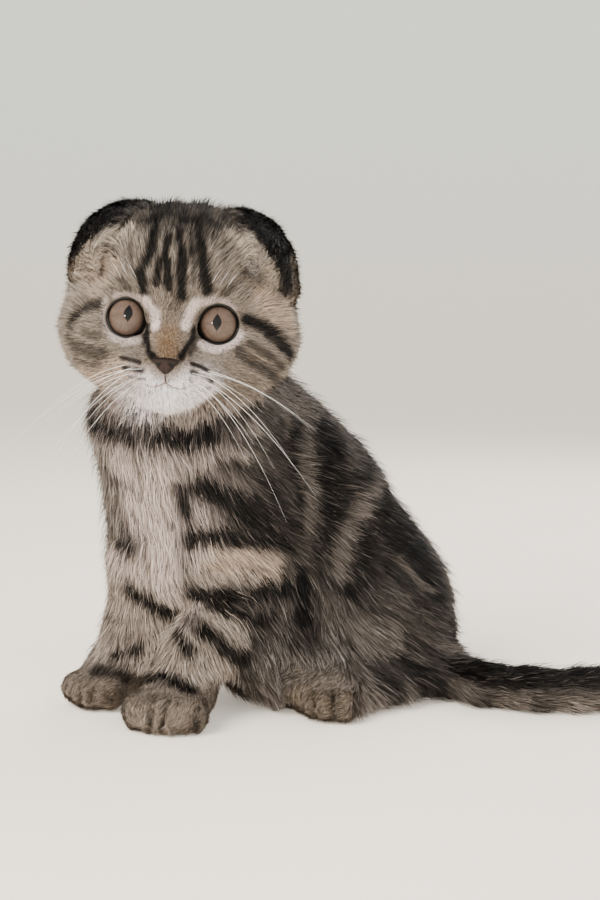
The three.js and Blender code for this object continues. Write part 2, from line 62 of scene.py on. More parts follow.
# Nose, mouth and whiskers, across and up from the head's centre
NOSE_TOP, NOSE_BOTTOM, NOSE_HALF = -15.6, -21.4, 5.3
NOSTRIL_PLACE = (2.6, -18.4)
NOSTRIL_HALF = (1.5, 0.75)
MOUTH = [
    (-8.0, -24.9), (-5.2, -26.0), (-2.4, -25.6), (0, -24.2), (2.4, -25.6), (5.2, -26.0), (8.0, -24.9)
]
PHILTRUM = [(0, -21.2), (0, -22.8), (0, -24.3)]
WHISKER_HALF = 0.08
BROW_HAIR_HALF = 0.07

# Round middles and half widths of the parts of the face, across, ahead and up
MUZZLE_MIDDLE, MUZZLE_HALF = np.array([0, 30, -19]), np.array([17, 16, 15])
EYE_AREA_AHEAD, EYE_AREA_HALF = 26, np.array([12, 14, 12])
PARTING = np.array([0.0, 34.0, -12.0])  # where the hair of the face starts

# Skin
SKIN_STEP = 1.15
SKIN_SWELL = 0.28
SEED = 20
FLOOR_GAP = 0.05
SOLE_TOP = 3.0
TOE_GAP_HALF = 1.05
TOE_GAP_DEPTH = 2.1
HELD_FACE, HELD_EARS, HELD_PAWS = 0.85, 0.75, 0.8  # share of the form kept when the skin is smoothed

FLESH = (
    "head ear_left ear_right neck torso foreleg_left foreleg_right forepaw_left forepaw_right "
    "hindleg_left hindleg_right hindpaw_left hindpaw_right tail_base tail_middle tail_tip"
).split()

PAW_NODES = ("forepaw_left", "forepaw_right", "hindpaw_left", "hindpaw_right")

# Coat of each node: skin below the solid, length, lift in degrees, width, share of tufts
COAT = {
    "head": (1.7, 5.2, 20, 0.29, 2.0),
    "ear_left": (0.9, 3.4, 17, 0.26, 2.3),
    "ear_right": (0.9, 3.4, 17, 0.26, 2.3),
    "neck": (4.0, 8.6, 26, 0.42, 1.05),
    "torso": (4.2, 9.4, 26, 0.44, 0.95),
    "foreleg_left": (2.8, 7.0, 24, 0.40, 1.15),
    "foreleg_right": (2.8, 7.0, 24, 0.40, 1.1),
    "forepaw_left": (1.0, 2.7, 20, 0.26, 2.0),
    "forepaw_right": (1.0, 2.7, 20, 0.26, 1.8),
    "hindleg_left": (3.8, 9.5, 26, 0.46, 0.95),
    "hindleg_right": (3.8, 9.5, 26, 0.46, 0.8),
    "hindpaw_left": (1.0, 3.2, 18, 0.30, 1.5),
    "hindpaw_right": (1.0, 3.2, 18, 0.30, 1.2),
    "tail_base": (2.6, 7.5, 22, 0.44, 1.0),
    "tail_middle": (2.6, 7.5, 22, 0.44, 1.0),
    "tail_tip": (2.4, 7.0, 22, 0.42, 1.0),
}
TUFTS = 480000
PIECE_TRIANGLES = 195000
BAKE_PATCH = 0.003

# Single hairs: where along a hair the marking is read, the shares with dark tips, of long
# guard hairs, of dark and of pale hairs, how much the shade varies and how pale tips get
SHOWN_PART = 0.6
TICKED_SHARE = 0.35
GUARD_SHARE = 0.1
DARK_HAIRS, BROW_TICKING, PALE_HAIRS = 0.14, 0.12, 0.06
SHADE_SPREAD = 0.5
FROST = 0.65

# A hair bends at this share of its length, and is painted darker towards its root, as the shade deep in
# the coat
BEND_AT = 0.45
BEND_WIDTH = 0.8
TIP_LIFT = 0.35
ROOT_DEPTH = 0.35
PAINTED_ROOT_SHADE = (0.5, 0.5, 0.9, 0.9, 1.0)
LOCK_SIZE = 3.0
LOCK_LEAN = 0.34
CLUMP_SIZE = 4.5

# Hair of the head: at the nose, out on the cheeks, on the crown and under the jaw
NOSE_HAIR = 1.5
CHEEK_HAIR = 4.2
CROWN_HAIR = 2.0
JAW_HAIR = 2.4

# Markings
EDGE_SOFTNESS = 0.55
WOBBLE_REACH = 2.5
TAIL_RING = 3.4

# Stripes where the photo shows none; the pairs are where they fade in and are full
STRIPE_STEP = 17.0
HEAD_STRIPE_STEP = 9.5
BODY_TURNS_AWAY = (30, 62)
RUMP_TURNS_AWAY = (52, 64)
HEAD_TURNS_AWAY = (18, 40)
DOWN_THE_BACK = np.array([0.62, 0.12, -0.78])
SPINE_PLACE = np.array([-5, 58, 60])
ACROSS_SPINE = np.array([0.39, -0.7, 0.31])
SPINE_HALF = (4, 9)

# Stage
FLOOR_RADIUS = 2200.0
SWEEP = 1200.0
WALL_HEIGHT = 2400.0
FLOOR_GLOW = 0.35

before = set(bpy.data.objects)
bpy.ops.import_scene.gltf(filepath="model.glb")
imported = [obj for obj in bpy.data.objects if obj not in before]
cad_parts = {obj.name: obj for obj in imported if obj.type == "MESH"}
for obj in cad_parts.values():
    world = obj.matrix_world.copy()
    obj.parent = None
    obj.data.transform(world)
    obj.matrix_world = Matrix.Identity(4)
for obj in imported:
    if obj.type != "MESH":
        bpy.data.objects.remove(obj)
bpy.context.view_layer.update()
rng = np.random.default_rng(SEED)


# Small vector helpers
def unit(v):
    v = np.asarray(v, float)
    return v / np.maximum(np.linalg.norm(v, axis=-1, keepdims=True), 1e-9)


def facing(turn, roll=0.0):
    """Axes across, ahead and up of something that faces turn degrees from -Y towards -X."""
    t, r = math.radians(-turn), math.radians(roll)
    turned = np.array([[math.cos(t), -math.sin(t), 0], [math.sin(t), math.cos(t), 0], [0, 0, 1]])
    rolled = np.array([[math.cos(r), 0, math.sin(r)], [0, 1, 0], [-math.sin(r), 0, math.cos(r)]])
    both = turned @ rolled
    return np.array([both @ [1, 0, 0], both @ [0, -1, 0], both @ [0, 0, 1]])


HEAD_AXES = facing(HEAD_YAW, HEAD_ROLL)


def on_head(across, ahead, up):
    return HEAD_CENTRE + np.array([across, ahead, up]) @ HEAD_AXES


def in_head(points):
    """Places given across, ahead and up of the head's centre."""
    return (points - HEAD_CENTRE) @ HEAD_AXES.T


def eye_centre(side):
    return on_head(side * EYE_PLACE[0], EYE_PLACE[1], EYE_PLACE[2])


def eye_axes(side):
    return facing(HEAD_YAW - side * EYE_SPLAY, HEAD_ROLL)


def middle_of(node):
    low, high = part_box(node)
    return (np.array(low) + np.array(high)) / 2


# The row frame stands elsewhere: the eyes give the shift between the two.
SHIFT = (middle_of("eye_left") + middle_of("eye_right")) / 2 * 1000
SHIFT = SHIFT - (eye_centre(1) + eye_centre(-1)) / 2
SHIFT[1] += CORNEA_REACH


def to_row(points):
    return (np.asarray(points, float) + SHIFT) / 1000


def from_row(points):
    return np.asarray(points, float) * 1000 - SHIFT


def smooth(low, high, value):
    t = np.clip((value - low) / (high - low), 0, 1)
    return t * t * (3 - 2 * t)


def noise(points, size, seed=0):
    """Smooth noise of about -1 to 1 that varies over the size given."""
    p = np.asarray(points, float) / size + seed * 17.3
    base = np.floor(p).astype(np.int64)
    part = p - base
    part = part * part * (3 - 2 * part)
    total = np.zeros(len(p))
    for corner in range(8):
        off = np.array([corner & 1, (corner >> 1) & 1, corner >> 2])
        cell = base + off
        h = cell[:, 0] * 374761393 + cell[:, 1] * 668265263 + cell[:, 2] * 2147483647
        h = (h ^ (h >> 13)) * 1274126177
        h = (h ^ (h >> 16)) & 0xFFFF
        weight = np.prod(np.where(off == 1, part, 1 - part), axis=1)
        total += weight * (h / 32767.5 - 1)
    return total


def srgb(text):
    """A colour written as in a picture, as the shader's linear numbers."""
    c = np.array([int(text[i : i + 2], 16) for i in (1, 3, 5)]) / 255
    return np.where(c <= 0.04045, c / 12.92, ((c + 0.055) / 1.055) ** 2.4)


# Meshes
def mesh_object(name, verts, faces, body="root", row=False):
    """A mesh object that rides on the body; faces all have the same number of corners."""
    verts = np.asarray(verts, float) if row else to_row(verts)
    faces = np.asarray(faces, np.int32)
    mesh = bpy.data.meshes.new(name)
    mesh.vertices.add(len(verts))
    mesh.vertices.foreach_set("co", verts.astype(np.float32).ravel())
    mesh.loops.add(faces.size)
    mesh.loops.foreach_set("vertex_index", faces.ravel())
    mesh.polygons.add(len(faces))
    mesh.polygons.foreach_set("loop_start", np.arange(0, faces.size, faces.shape[1], dtype=np.int32))
    mesh.update(calc_edges=True)
    mesh.polygons.foreach_set("use_smooth", np.ones(len(faces), bool))
    obj = bpy.data.objects.new(name, mesh)
    bpy.context.scene.collection.objects.link(obj)
    if body:
        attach(obj, body)
    return obj


def grid_faces(rows, cols, rows_close=False, cols_close=False):
    """Quads over a grid of vertices stored row by row; a side that closes joins its last to its first."""
    i, j = np.meshgrid(
        np.arange(rows if rows_close else rows - 1),
        np.arange(cols if cols_close else cols - 1),
        indexing="ij",
    )
    n, k = (i + 1) % rows, (j + 1) % cols
    return np.stack([i * cols + j, i * cols + k, n * cols + k, n * cols + j], axis=2).reshape(-1, 4)


def set_colours(obj, colours, name="coat_colour"):
    layer = obj.data.color_attributes.new(name, "FLOAT_COLOR", "POINT")
    rgba = np.ones((len(colours), 4), np.float32)
    rgba[:, :3] = np.clip(colours, 0, 1)
    layer.data.foreach_set("color", rgba.ravel())


# Skin
def welded(node):
    """A node's mesh with its doubled corners joined, swollen to close the gap to its neighbours."""
    bm = bmesh.new()
    bm.from_mesh(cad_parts[node].data)
    bmesh.ops.remove_doubles(bm, verts=bm.verts, dist=1e-6)
    bm.normal_update()
    swell = 0.0 if node.startswith("ear") else SKIN_SWELL / 1000
    for v in bm.verts:
        v.co += v.normal * swell
    return bm


def source_skin():
    """All flesh as one even mesh of quads, with the node that each place belongs to."""
    joined = bmesh.new()
    places, owners = [], []
    for number, node in enumerate(FLESH):
        bm = welded(node)
        places += [v.co.copy() for v in bm.verts]
        owners += [number] * len(bm.verts)
        held = bpy.data.meshes.new("held")
        bm.to_mesh(held)
        bm.free()
        joined.from_mesh(held)
        bpy.data.meshes.remove(held)
    mesh = bpy.data.meshes.new("skin_source")
    joined.to_mesh(mesh)
    joined.free()
    obj = bpy.data.objects.new("skin_source", mesh)
    bpy.context.scene.collection.objects.link(obj)
    remesh = obj.modifiers.new("even", "REMESH")
    remesh.mode = "VOXEL"
    remesh.voxel_size = SKIN_STEP / 1000
    even = bpy.data.meshes.new_from_object(obj.evaluated_get(bpy.context.evaluated_depsgraph_get()))
    bpy.data.objects.remove(obj)
    verts = np.zeros(len(even.vertices) * 3, np.float32)
    even.vertices.foreach_get("co", verts)
    verts = verts.reshape(-1, 3).astype(float)
    quads = np.zeros(len(even.loops), np.int32)
    even.loops.foreach_get("vertex_index", quads)
    quads = quads.reshape(-1, 4)
    tree = KDTree(len(places))
    for i, place in enumerate(places):
        tree.insert(place, i)
    tree.balance()
    nearest = np.array([owners[tree.find(v)[1]] for v in verts])
    return from_row(verts), quads, nearest


class Net:
    """Averages over the neighbours of each vertex of a quad mesh."""

    def __init__(self, quads, count):
        pairs = np.concatenate([quads[:, [0, 1]], quads[:, [1, 2]], quads[:, [2, 3]], quads[:, [3, 0]]])
        self.a = np.concatenate([pairs[:, 0], pairs[:, 1]])
        self.b = np.concatenate([pairs[:, 1], pairs[:, 0]])
        self.count = count
        self.degree = np.maximum(np.bincount(self.a, minlength=count), 1)

    def mean(self, values):
        if values.ndim == 1:
            return np.bincount(self.a, values[self.b], self.count) / self.degree
        return np.stack([self.mean(values[:, i]) for i in range(values.shape[1])], axis=1)

    def smoothed(self, values, passes, share=0.6):
        for _ in range(passes):
            values = values + (share if np.isscalar(share) else share[:, None]) * (
                self.mean(values) - values
            )
        return values


def vertex_normals(verts, quads):
    across = verts[quads[:, 2]] - verts[quads[:, 0]]
    along = verts[quads[:, 3]] - verts[quads[:, 1]]
    face = np.cross(across, along)
    total = np.zeros_like(verts)
    for k in range(4):
        for axis in range(3):
            total[:, axis] += np.bincount(quads[:, k], face[:, axis], len(verts))
    return unit(total)


def share_of(weights, *nodes):
    return sum(weights[:, FLESH.index(node)] for node in nodes)


def near_face(points):
    """1 at the muzzle and eyes, falling to 0 at the cheeks and forehead."""
    local = in_head(points)
    near = np.linalg.norm((local - MUZZLE_MIDDLE) / MUZZLE_HALF, axis=1)
    for side in (1, -1):
        middle = np.array([side * EYE_PLACE[0], EYE_AREA_AHEAD, EYE_PLACE[2]])
        near = np.minimum(near, np.linalg.norm((local - middle) / EYE_AREA_HALF, axis=1))
    return 1 - smooth(0.7, 1.5, near)


def build_skin():
    """The flesh smoothed where fur hides its form, then set in by the coat's depth."""
    verts, quads, owner = source_skin()
    net = Net(quads, len(verts))
    weights = net.smoothed(np.eye(len(FLESH))[owner], 10)
    face = near_face(verts)
    ears = share_of(weights, "ear_left", "ear_right")
    paws = share_of(weights, *PAW_NODES)
    keep = np.clip(HELD_FACE * face + HELD_EARS * ears + HELD_PAWS * paws, 0, HELD_FACE)
    outer = net.smoothed(verts, 14, 0.55 * (1 - keep))
    outer = net.smoothed(outer, 2, 0.5)
    normals = vertex_normals(outer, quads)
    depth = weights @ np.array([COAT[node][0] for node in FLESH])
    depth = depth * (1 - 0.75 * face * weights[:, 0])
    inner = outer - normals * depth[:, None]
    inner = net.smoothed(inner, 3, 0.5 * (1 - keep))
    # the soles come down to the floor
    low = inner[:, 2] < SOLE_TOP
    lowest = inner[:, 2].min()
    stretch = (SOLE_TOP - FLOOR_GAP) / (SOLE_TOP - lowest)
    inner[low, 2] = FLOOR_GAP + (inner[low, 2] - lowest) * stretch
    return inner, quads, weights, net


skin_verts, skin_quads, skin_weights, skin_net = build_skin()
skin_normals = vertex_normals(skin_verts, skin_quads)
skin_tree = BVHTree.FromPolygons([tuple(v) for v in skin_verts], [tuple(q) for q in skin_quads])


# Places in the photo
def sight(u, v):
    """The way from the camera through a pixel of the photo."""
    forward = np.array([0, math.cos(CAMERA_PITCH), -math.sin(CAMERA_PITCH)])
    upward = np.array([0, math.sin(CAMERA_PITCH), math.cos(CAMERA_PITCH)])
    across = (u - PICTURE[0] / 2) / FOCAL_PX
    rise = (PICTURE[1] / 2 - v) / FOCAL_PX
    return unit(forward + across * np.array([1.0, 0, 0]) + rise * upward)


def seen(u, v):
    """The place on the skin that shows at a pixel of the photo, or none where no skin shows."""
    hit = skin_tree.ray_cast(Vector(CAMERA_PLACE), Vector(sight(u, v)))
    return None if hit[0] is None else np.array(hit[0])


# Markings: each is a line through places seen in the photo, in pixels, with half its
# width in millimetres and its strength
FOREHEAD_STRIPES = [
    ([(144, 291), (141, 272), (147, 259)], 1.9, 1.0),
    ([(146, 262), (153, 250), (157, 232), (160, 212)], 2.2, 1.0),
    ([(161, 260), (157, 282)], 1.5, 0.95),
    ([(170, 210), (169, 238), (167, 262), (169, 288)], 1.4, 1.0),
    ([(179, 208), (180, 234), (183, 255), (182, 272), (182, 296)], 1.9, 1.0),
    ([(189, 210), (190, 236), (192, 254)], 1.3, 0.95),
    ([(193, 262), (194, 280)], 1.0, 0.6),
    ([(147, 214), (146, 232)], 1.3, 0.7),
    ([(209, 218), (212, 240)], 1.4, 0.75),
    ([(176, 292), (176, 306)], 1.6, 0.45),
    ([(134, 250), (131, 262)], 1.2, 0.4),
    ([(222, 246), (224, 262)], 1.2, 0.4),
    ([(207, 294), (205, 280), (203, 266), (201, 252)], 2.2, 1.0),
    ([(201, 254), (198, 238), (197, 222), (197, 210)], 2.2, 1.0),
    ([(120, 279), (130, 288)], 1.4, 0.6),
    ([(225, 292), (231, 286)], 1.3, 0.6),
]
CHEEK_STRIPES = [
    ([(247, 320), (258, 325), (272, 333), (282, 348), (287, 356)], 2.3, 1.0),
    ([(262, 327), (275, 340)], 2.6, 0.9),
    ([(240, 352), (254, 362), (270, 372), (282, 384)], 2.0, 0.75),
    ([(250, 344), (266, 354), (278, 366)], 1.6, 0.7),
    ([(99, 305), (86, 308), (77, 315), (73, 326)], 2.1, 0.85),
    ([(73, 326), (72, 340)], 1.8, 0.4),
    ([(76, 344), (90, 351), (104, 352)], 2.4, 0.6),
    ([(84, 330), (98, 337)], 1.5, 0.45),
    ([(80, 358), (100, 364)], 1.6, 0.4),
]
NOSE_SIDES = [
    ([(147, 326), (146, 338), (149, 350), (154, 358)], 1.5, 1.0),
    ([(142, 338), (150, 352)], 2.0, 0.75),
    ([(194, 330), (192, 340), (186, 349), (181, 357)], 1.6, 1.0),
    ([(198, 338), (190, 352)], 2.1, 0.75),
]
CHEST_BANDS = [
    ([(94, 386), (98, 398)], 1.6, 0.7),
    ([(90, 404), (98, 412)], 1.6, 0.7),
    ([(104, 474), (122, 480), (134, 484)], 2.6, 0.75),
    ([(160, 487), (182, 486), (206, 488)], 2.8, 0.95),
    ([(204, 486), (226, 498), (246, 514), (262, 524)], 6.0, 1.0),
    ([(236, 518), (262, 534), (288, 546)], 4.6, 1.0),
    ([(182, 494), (190, 514)], 2.8, 0.95),
    ([(154, 562), (162, 582)], 1.6, 0.45),
    ([(182, 560), (188, 580)], 1.6, 0.45),
    ([(272, 604), (264, 640), (248, 676)], 2.2, 0.55),
    ([(222, 460), (250, 470), (276, 488)], 3.4, 0.85),
    ([(230, 438), (256, 444), (278, 458)], 3.2, 0.8),
    ([(262, 476), (280, 510), (290, 540)], 4.4, 0.9),
    ([(194, 538), (214, 534), (232, 536), (262, 544)], 4.4, 1.0),
    ([(112, 520), (120, 526)], 2.6, 0.6),
]
LEFT_FORELEG_BANDS = [
    ([(192, 592), (208, 604), (228, 608)], 4.2, 1.0),
    ([(208, 600), (240, 599), (284, 590)], 4.8, 1.0),
    ([(228, 612), (250, 620), (270, 622)], 3.6, 1.0),
    ([(192, 624), (208, 636), (222, 650), (238, 660)], 3.4, 1.0),
    ([(180, 638), (192, 654)], 2.6, 1.0),
    ([(156, 678), (174, 682), (190, 691)], 2.9, 1.0),
    ([(246, 636), (250, 650)], 2.0, 0.5),
    ([(244, 566), (262, 572)], 2.0, 0.5),
]
RIGHT_FORELEG_BANDS = [
    ([(108, 543), (126, 546), (142, 540)], 3.6, 1.0),
    ([(110, 589), (136, 592), (156, 604), (176, 618)], 4.2, 1.0),
    ([(112, 625), (126, 620)], 1.3, 0.5),
    ([(114, 643), (130, 636)], 1.3, 0.55),
    ([(116, 656), (140, 650)], 2.2, 0.95),
    ([(98, 672), (124, 676), (146, 682)], 3.2, 0.85),
]
FLANK_PATCHES = [
    ([(296, 392), (296, 430), (294, 470), (300, 510)], 4.2, 1.0),
    ([(312, 396), (326, 440), (332, 490), (330, 536)], 8.6, 1.0),
    ([(340, 430), (368, 486), (392, 540)], 10.0, 1.0),
    ([(384, 500), (412, 550), (432, 596)], 9.0, 1.0),
    ([(300, 380), (330, 404), (352, 440)], 6.0, 0.95),
    ([(330, 590), (350, 606), (372, 612)], 4.6, 0.6),
    ([(392, 600), (420, 616), (440, 640)], 5.0, 0.7),
    ([(276, 430), (284, 470), (286, 500)], 4.2, 0.8),
    ([(262, 420), (256, 440), (262, 462)], 3.0, 0.7),
    ([(330, 580), (348, 590), (366, 592)], 5.0, 0.9),
    ([(336, 520), (326, 540), (322, 556)], 4.2, 0.95),
    ([(362, 520), (362, 560), (352, 590)], 6.2, 1.0),
    ([(384, 520), (404, 550), (420, 580)], 5.6, 1.0),
    ([(380, 560), (400, 580), (424, 590)], 5.4, 0.9),
    ([(300, 572), (302, 600), (304, 626)], 4.4, 1.0),
    ([(250, 500), (274, 516), (296, 528)], 4.0, 0.95),
    ([(350, 600), (380, 612), (404, 622)], 3.0, 0.8),
    ([(404, 640), (424, 650), (440, 660)], 4.4, 0.85),
    ([(376, 668), (400, 676), (424, 690)], 4.4, 0.8),
    ([(404, 690), (440, 694)], 3.6, 0.7),
    ([(400, 664), (418, 678), (440, 688)], 6.0, 0.95),
    ([(432, 670), (448, 684)], 4.0, 0.85),
    ([(380, 684), (396, 690)], 4.2, 0.9),
    ([(330, 360), (320, 372), (300, 376)], 5.0, 0.9),
    ([(290, 376), (310, 388), (324, 402)], 5.2, 0.95),
]
FOOT_AND_TAIL = [
    ([(336, 700), (338, 714)], 0.9, 0.8),
    ([(456, 668), (490, 676), (530, 680), (598, 676)], 5.6, 1.0),
]
# the dark band round the neck, and a painted shadow line under the edge of a folded ear
COLLAR_AND_EAR_SHADOW = [
    ([(98, 420), (112, 430), (136, 436), (160, 439), (190, 441), (212, 436)], 3.6, 1.0),
    ([(212, 436), (232, 425), (258, 410)], 3.0, 0.85),
    ([(98, 412), (108, 424)], 1.8, 0.7),
    # painted shadow under the free edge of a folded ear flap
    ([(250, 263), (262, 275), (274, 288)], 0.8, 0.75),
]
WHISKER_ROWS = [
    ([(122, 358), (140, 363)], 0.9, 0.9),
    ([(124, 368), (142, 371)], 0.9, 0.9),
    ([(130, 377), (144, 379)], 0.6, 0.6),
    ([(192, 364), (208, 371)], 0.9, 0.95),
    ([(192, 372), (212, 381)], 0.9, 0.9),
    ([(190, 380), (208, 388)], 0.6, 0.6),
]
# painted shade over the flank, laid over its dark patches
FLANK_PAINTED_SHADE = [
    ([(302, 384), (312, 470), (318, 556)], 15.0, 0.82),
    ([(332, 424), (352, 500), (362, 580)], 17.0, 0.86),
    ([(372, 474), (402, 536), (424, 604)], 16.0, 0.86),
    ([(268, 430), (276, 480), (280, 520)], 8.0, 0.7),
    ([(226, 470), (250, 490)], 6.0, 0.6),
    ([(300, 560), (306, 610), (300, 640)], 8.0, 0.7),
    ([(350, 640), (390, 650), (430, 660)], 10.0, 0.35),
]
PALE_FLANK_BANDS = [
    ([(303, 408), (304, 454), (308, 496), (312, 530)], 2.7, 0.75),
    ([(374, 480), (360, 506), (348, 530), (342, 545), (340, 574)], 3.4, 0.8),
    ([(396, 560), (410, 580), (424, 592)], 1.6, 0.5),
]
BIB_AND_PALE_BANDS = [
    ([(162, 476), (160, 500), (160, 530), (164, 560), (170, 590)], 6.0, 0.85),
    ([(130, 470), (140, 500), (146, 530)], 6.0, 0.6),
    ([(128, 372), (140, 378)], 4.4, 0.75),
    ([(194, 374), (206, 382)], 4.4, 0.7),
    ([(206, 560), (236, 560), (264, 564)], 5.0, 0.75),
    ([(118, 566), (146, 572), (176, 560)], 5.6, 0.6),
    ([(200, 614), (190, 630)], 3.4, 0.45),
]
EYE_RING = [
    ([(146, 300), (155, 312), (156, 326)], 1.7, 1.0),
    ([(116, 296), (130, 294), (142, 298)], 1.2, 0.7),
    ([(112, 336), (124, 342), (138, 340)], 1.5, 0.75),
    ([(186, 326), (190, 312), (198, 302), (212, 299)], 1.7, 1.0),
    ([(212, 299), (226, 302), (234, 308)], 1.1, 0.6),
    ([(202, 344), (214, 349), (230, 344), (240, 334)], 1.7, 0.8),
    ([(106, 300), (104, 316), (108, 330)], 1.2, 0.45),
]
CHIN = [
    ([(140, 397), (165, 403), (192, 397)], 8.5, 1.0),
    ([(150, 382), (160, 388), (176, 388), (186, 382)], 3.6, 1.0),
]
WARM_PATCHES = [
    ([(262, 298), (272, 308), (284, 318)], 5.0, 0.9),
    ([(90, 372), (104, 376), (120, 370)], 4.4, 0.8),
    ([(96, 258), (110, 268), (96, 284)], 4.4, 0.6),
    ([(250, 352), (262, 358)], 2.0, 0.5),
    ([(218, 562), (244, 562), (266, 566)], 5.2, 0.9),
]
BROWN_PATCHES = [
    ([(462, 706), (520, 712), (598, 712)], 4.0, 0.9),
    ([(300, 702), (330, 704), (364, 706)], 6.0, 0.7),
    ([(84, 690), (110, 698)], 5.0, 0.4),
]
# painted shadow on the belly, between and under the legs
BELLY_SHADOW_MARKS = [
    ([(262, 630), (276, 660), (286, 690)], 7.0, 0.9),
    ([(246, 664), (256, 690)], 5.0, 0.9),
    ([(316, 630), (336, 650), (352, 670)], 8.0, 0.75),
    ([(390, 690), (430, 700)], 5.0, 0.8),
    ([(300, 600), (310, 640), (320, 670)], 9.0, 0.6),
    ([(270, 676), (300, 684)], 6.0, 0.8),
]
EAR_FOLD_EDGES = [
    ([(132, 244), (110, 254), (96, 266), (84, 280)], 3.6, 1.0),
    ([(228, 248), (242, 258), (254, 272), (262, 290), (268, 300)], 3.8, 1.0),
    ([(291, 250), (294, 264), (294, 280), (291, 298)], 2.6, 0.8),
]
NOSE_BRIDGE = [
    ([(168, 336), (168, 346), (168, 357)], 4.6, 0.95),
    ([(168, 318), (168, 330)], 2.6, 0.35),
    ([(180, 354), (194, 364)], 2.6, 0.5),
    ([(154, 360), (144, 366)], 2.4, 0.35),
]
PALE_EAR_FLAPS = [
    ([(130, 231), (112, 237), (94, 251), (80, 268)], 2.7, 1.0),
    ([(230, 236), (246, 243), (258, 258), (271, 280)], 2.9, 1.0),
    ([(289, 262), (291, 286)], 2.0, 0.9),
    ([(84, 264), (75, 274), (70, 286), (68, 298)], 3.6, 1.0),
    ([(297, 282), (292, 294), (284, 302)], 2.8, 0.85),
]


def lines_on_skin(marks):
    """The marks as pieces of line between places on the skin."""
    pieces = []
    for places, half_width, strength in marks:
        points = [seen(u, v) for u, v in places]
        points = [p for p in points if p is not None]
        for a, b in zip(points, points[1:]):
            pieces.append((a, b, half_width, strength))
    return pieces


def painted(points, pieces, wobble, edge=EDGE_SOFTNESS):
    """How strongly the marks cover each point, from 0 to 1."""
    cover = np.zeros(len(points))
    for a, b, half_width, strength in pieces:
        reach = half_width * (1 + edge) + WOBBLE_REACH
        low = np.minimum(a, b) - reach
        high = np.maximum(a, b) + reach
        near = np.nonzero(np.all((points > low) & (points < high), axis=1))[0]
        if not len(near):
            continue
        p = points[near]
        way = b - a
        t = np.clip((p - a) @ way / max(way @ way, 1e-6), 0, 1)
        gap = np.linalg.norm(p - a - t[:, None] * way, axis=1) + wobble[near]
        here = strength * (1 - smooth(half_width * (1 - edge), half_width * (1 + edge), gap))
        cover[near] = np.maximum(cover[near], here)
    return cover


DARK_MARKS = (
    FOREHEAD_STRIPES + CHEEK_STRIPES + NOSE_SIDES + CHEST_BANDS
    + LEFT_FORELEG_BANDS + RIGHT_FORELEG_BANDS + FLANK_PATCHES + FOOT_AND_TAIL
)

# gaps between the toes: the skin is sunk along them, and the coat is painted dark there as the shade in
# the gaps
TOE_GAPS = [
    ([(153, 703), (151, 716), (150, 731)], TOE_GAP_HALF, 1.0),
    ([(168, 703), (164, 716), (162, 731)], TOE_GAP_HALF, 1.0),
    ([(197, 709), (196, 720), (195, 731)], TOE_GAP_HALF, 1.0),
    ([(92, 692), (94, 700), (97, 708)], TOE_GAP_HALF, 1.0),
    ([(81, 695), (83, 702), (86, 708)], TOE_GAP_HALF, 0.8),
    ([(106, 694), (110, 702), (112, 709)], TOE_GAP_HALF, 0.7),
    ([(332, 691), (334, 702), (337, 716)], TOE_GAP_HALF, 1.0),
    ([(314, 693), (315, 703), (317, 714)], TOE_GAP_HALF, 0.7),
    ([(352, 692), (354, 703), (357, 717)], TOE_GAP_HALF, 0.7),
]

# Each group of marks, with how much its edge wavers and how soft the edge is
MARKS = {
    "dark": (DARK_MARKS, 0.6, EDGE_SOFTNESS),
    "shade": (FLANK_PAINTED_SHADE, 2.0, 0.7),
    "band": (PALE_FLANK_BANDS, 1.0, EDGE_SOFTNESS),
    "collar": (COLLAR_AND_EAR_SHADOW, 1.0, EDGE_SOFTNESS),
    "pads": (WHISKER_ROWS, 0.2, EDGE_SOFTNESS),
    "pale": (BIB_AND_PALE_BANDS, 1.5, EDGE_SOFTNESS),
    "warm": (WARM_PATCHES, 1.5, EDGE_SOFTNESS),
    "under": (BELLY_SHADOW_MARKS, 1.5, EDGE_SOFTNESS),
    "brown": (BROWN_PATCHES, 1.0, EDGE_SOFTNESS),
    "chin": (CHIN, 1.0, 0.95),
    "tan": (NOSE_BRIDGE, 0.6, 0.9),
    "ring": (EYE_RING, 0.3, EDGE_SOFTNESS),
    "fold": (EAR_FOLD_EDGES, 0.4, EDGE_SOFTNESS),
    "flap": (PALE_EAR_FLAPS, 0.25, EDGE_SOFTNESS),
    "toes": (TOE_GAPS, 0.1, EDGE_SOFTNESS),
}
LINES = {name: lines_on_skin(marks) for name, (marks, _, _) in MARKS.items()}


def cut_toes():
    """Sinks the skin along the gaps between the toes."""
    depth = TOE_GAP_DEPTH * painted(skin_verts, LINES["toes"], np.zeros(len(skin_verts)), 0.9)
    skin_verts[:] = skin_verts - skin_normals * depth[:, None]
    skin_verts[:, 2] = np.maximum(skin_verts[:, 2], FLOOR_GAP)


cut_toes()
skin_normals = vertex_normals(skin_verts, skin_quads)

# Colours of the coat
HEAD_FUR = srgb("#85786b")
BODY_FUR = srgb("#71665d")
CREAM = srgb("#e6dad2")
RING_PINK = srgb("#ead6cd")
TAN = srgb("#795a38")
CHIN_WHITE = srgb("#fff6f6")
CHEEK_FUR = srgb("#bba48e")
BROWN_FUR = srgb("#6b5c49")
BIB_FUR = srgb("#d6c2b8")
# the dark colour of the painted shadow on the belly
BELLY_SHADOW_COLOUR = srgb("#453d36")
DARK = srgb("#0b0908")
EAR_PALE = srgb("#c9b7a2")
PAW_FUR = srgb("#8b7c6d")
LEG_FUR = srgb("#a39385")
BELLY_FUR = srgb("#70655c")


def mixed(colour, other, share):
    return colour + (other - colour) * np.clip(share, 0, 1)[:, None]


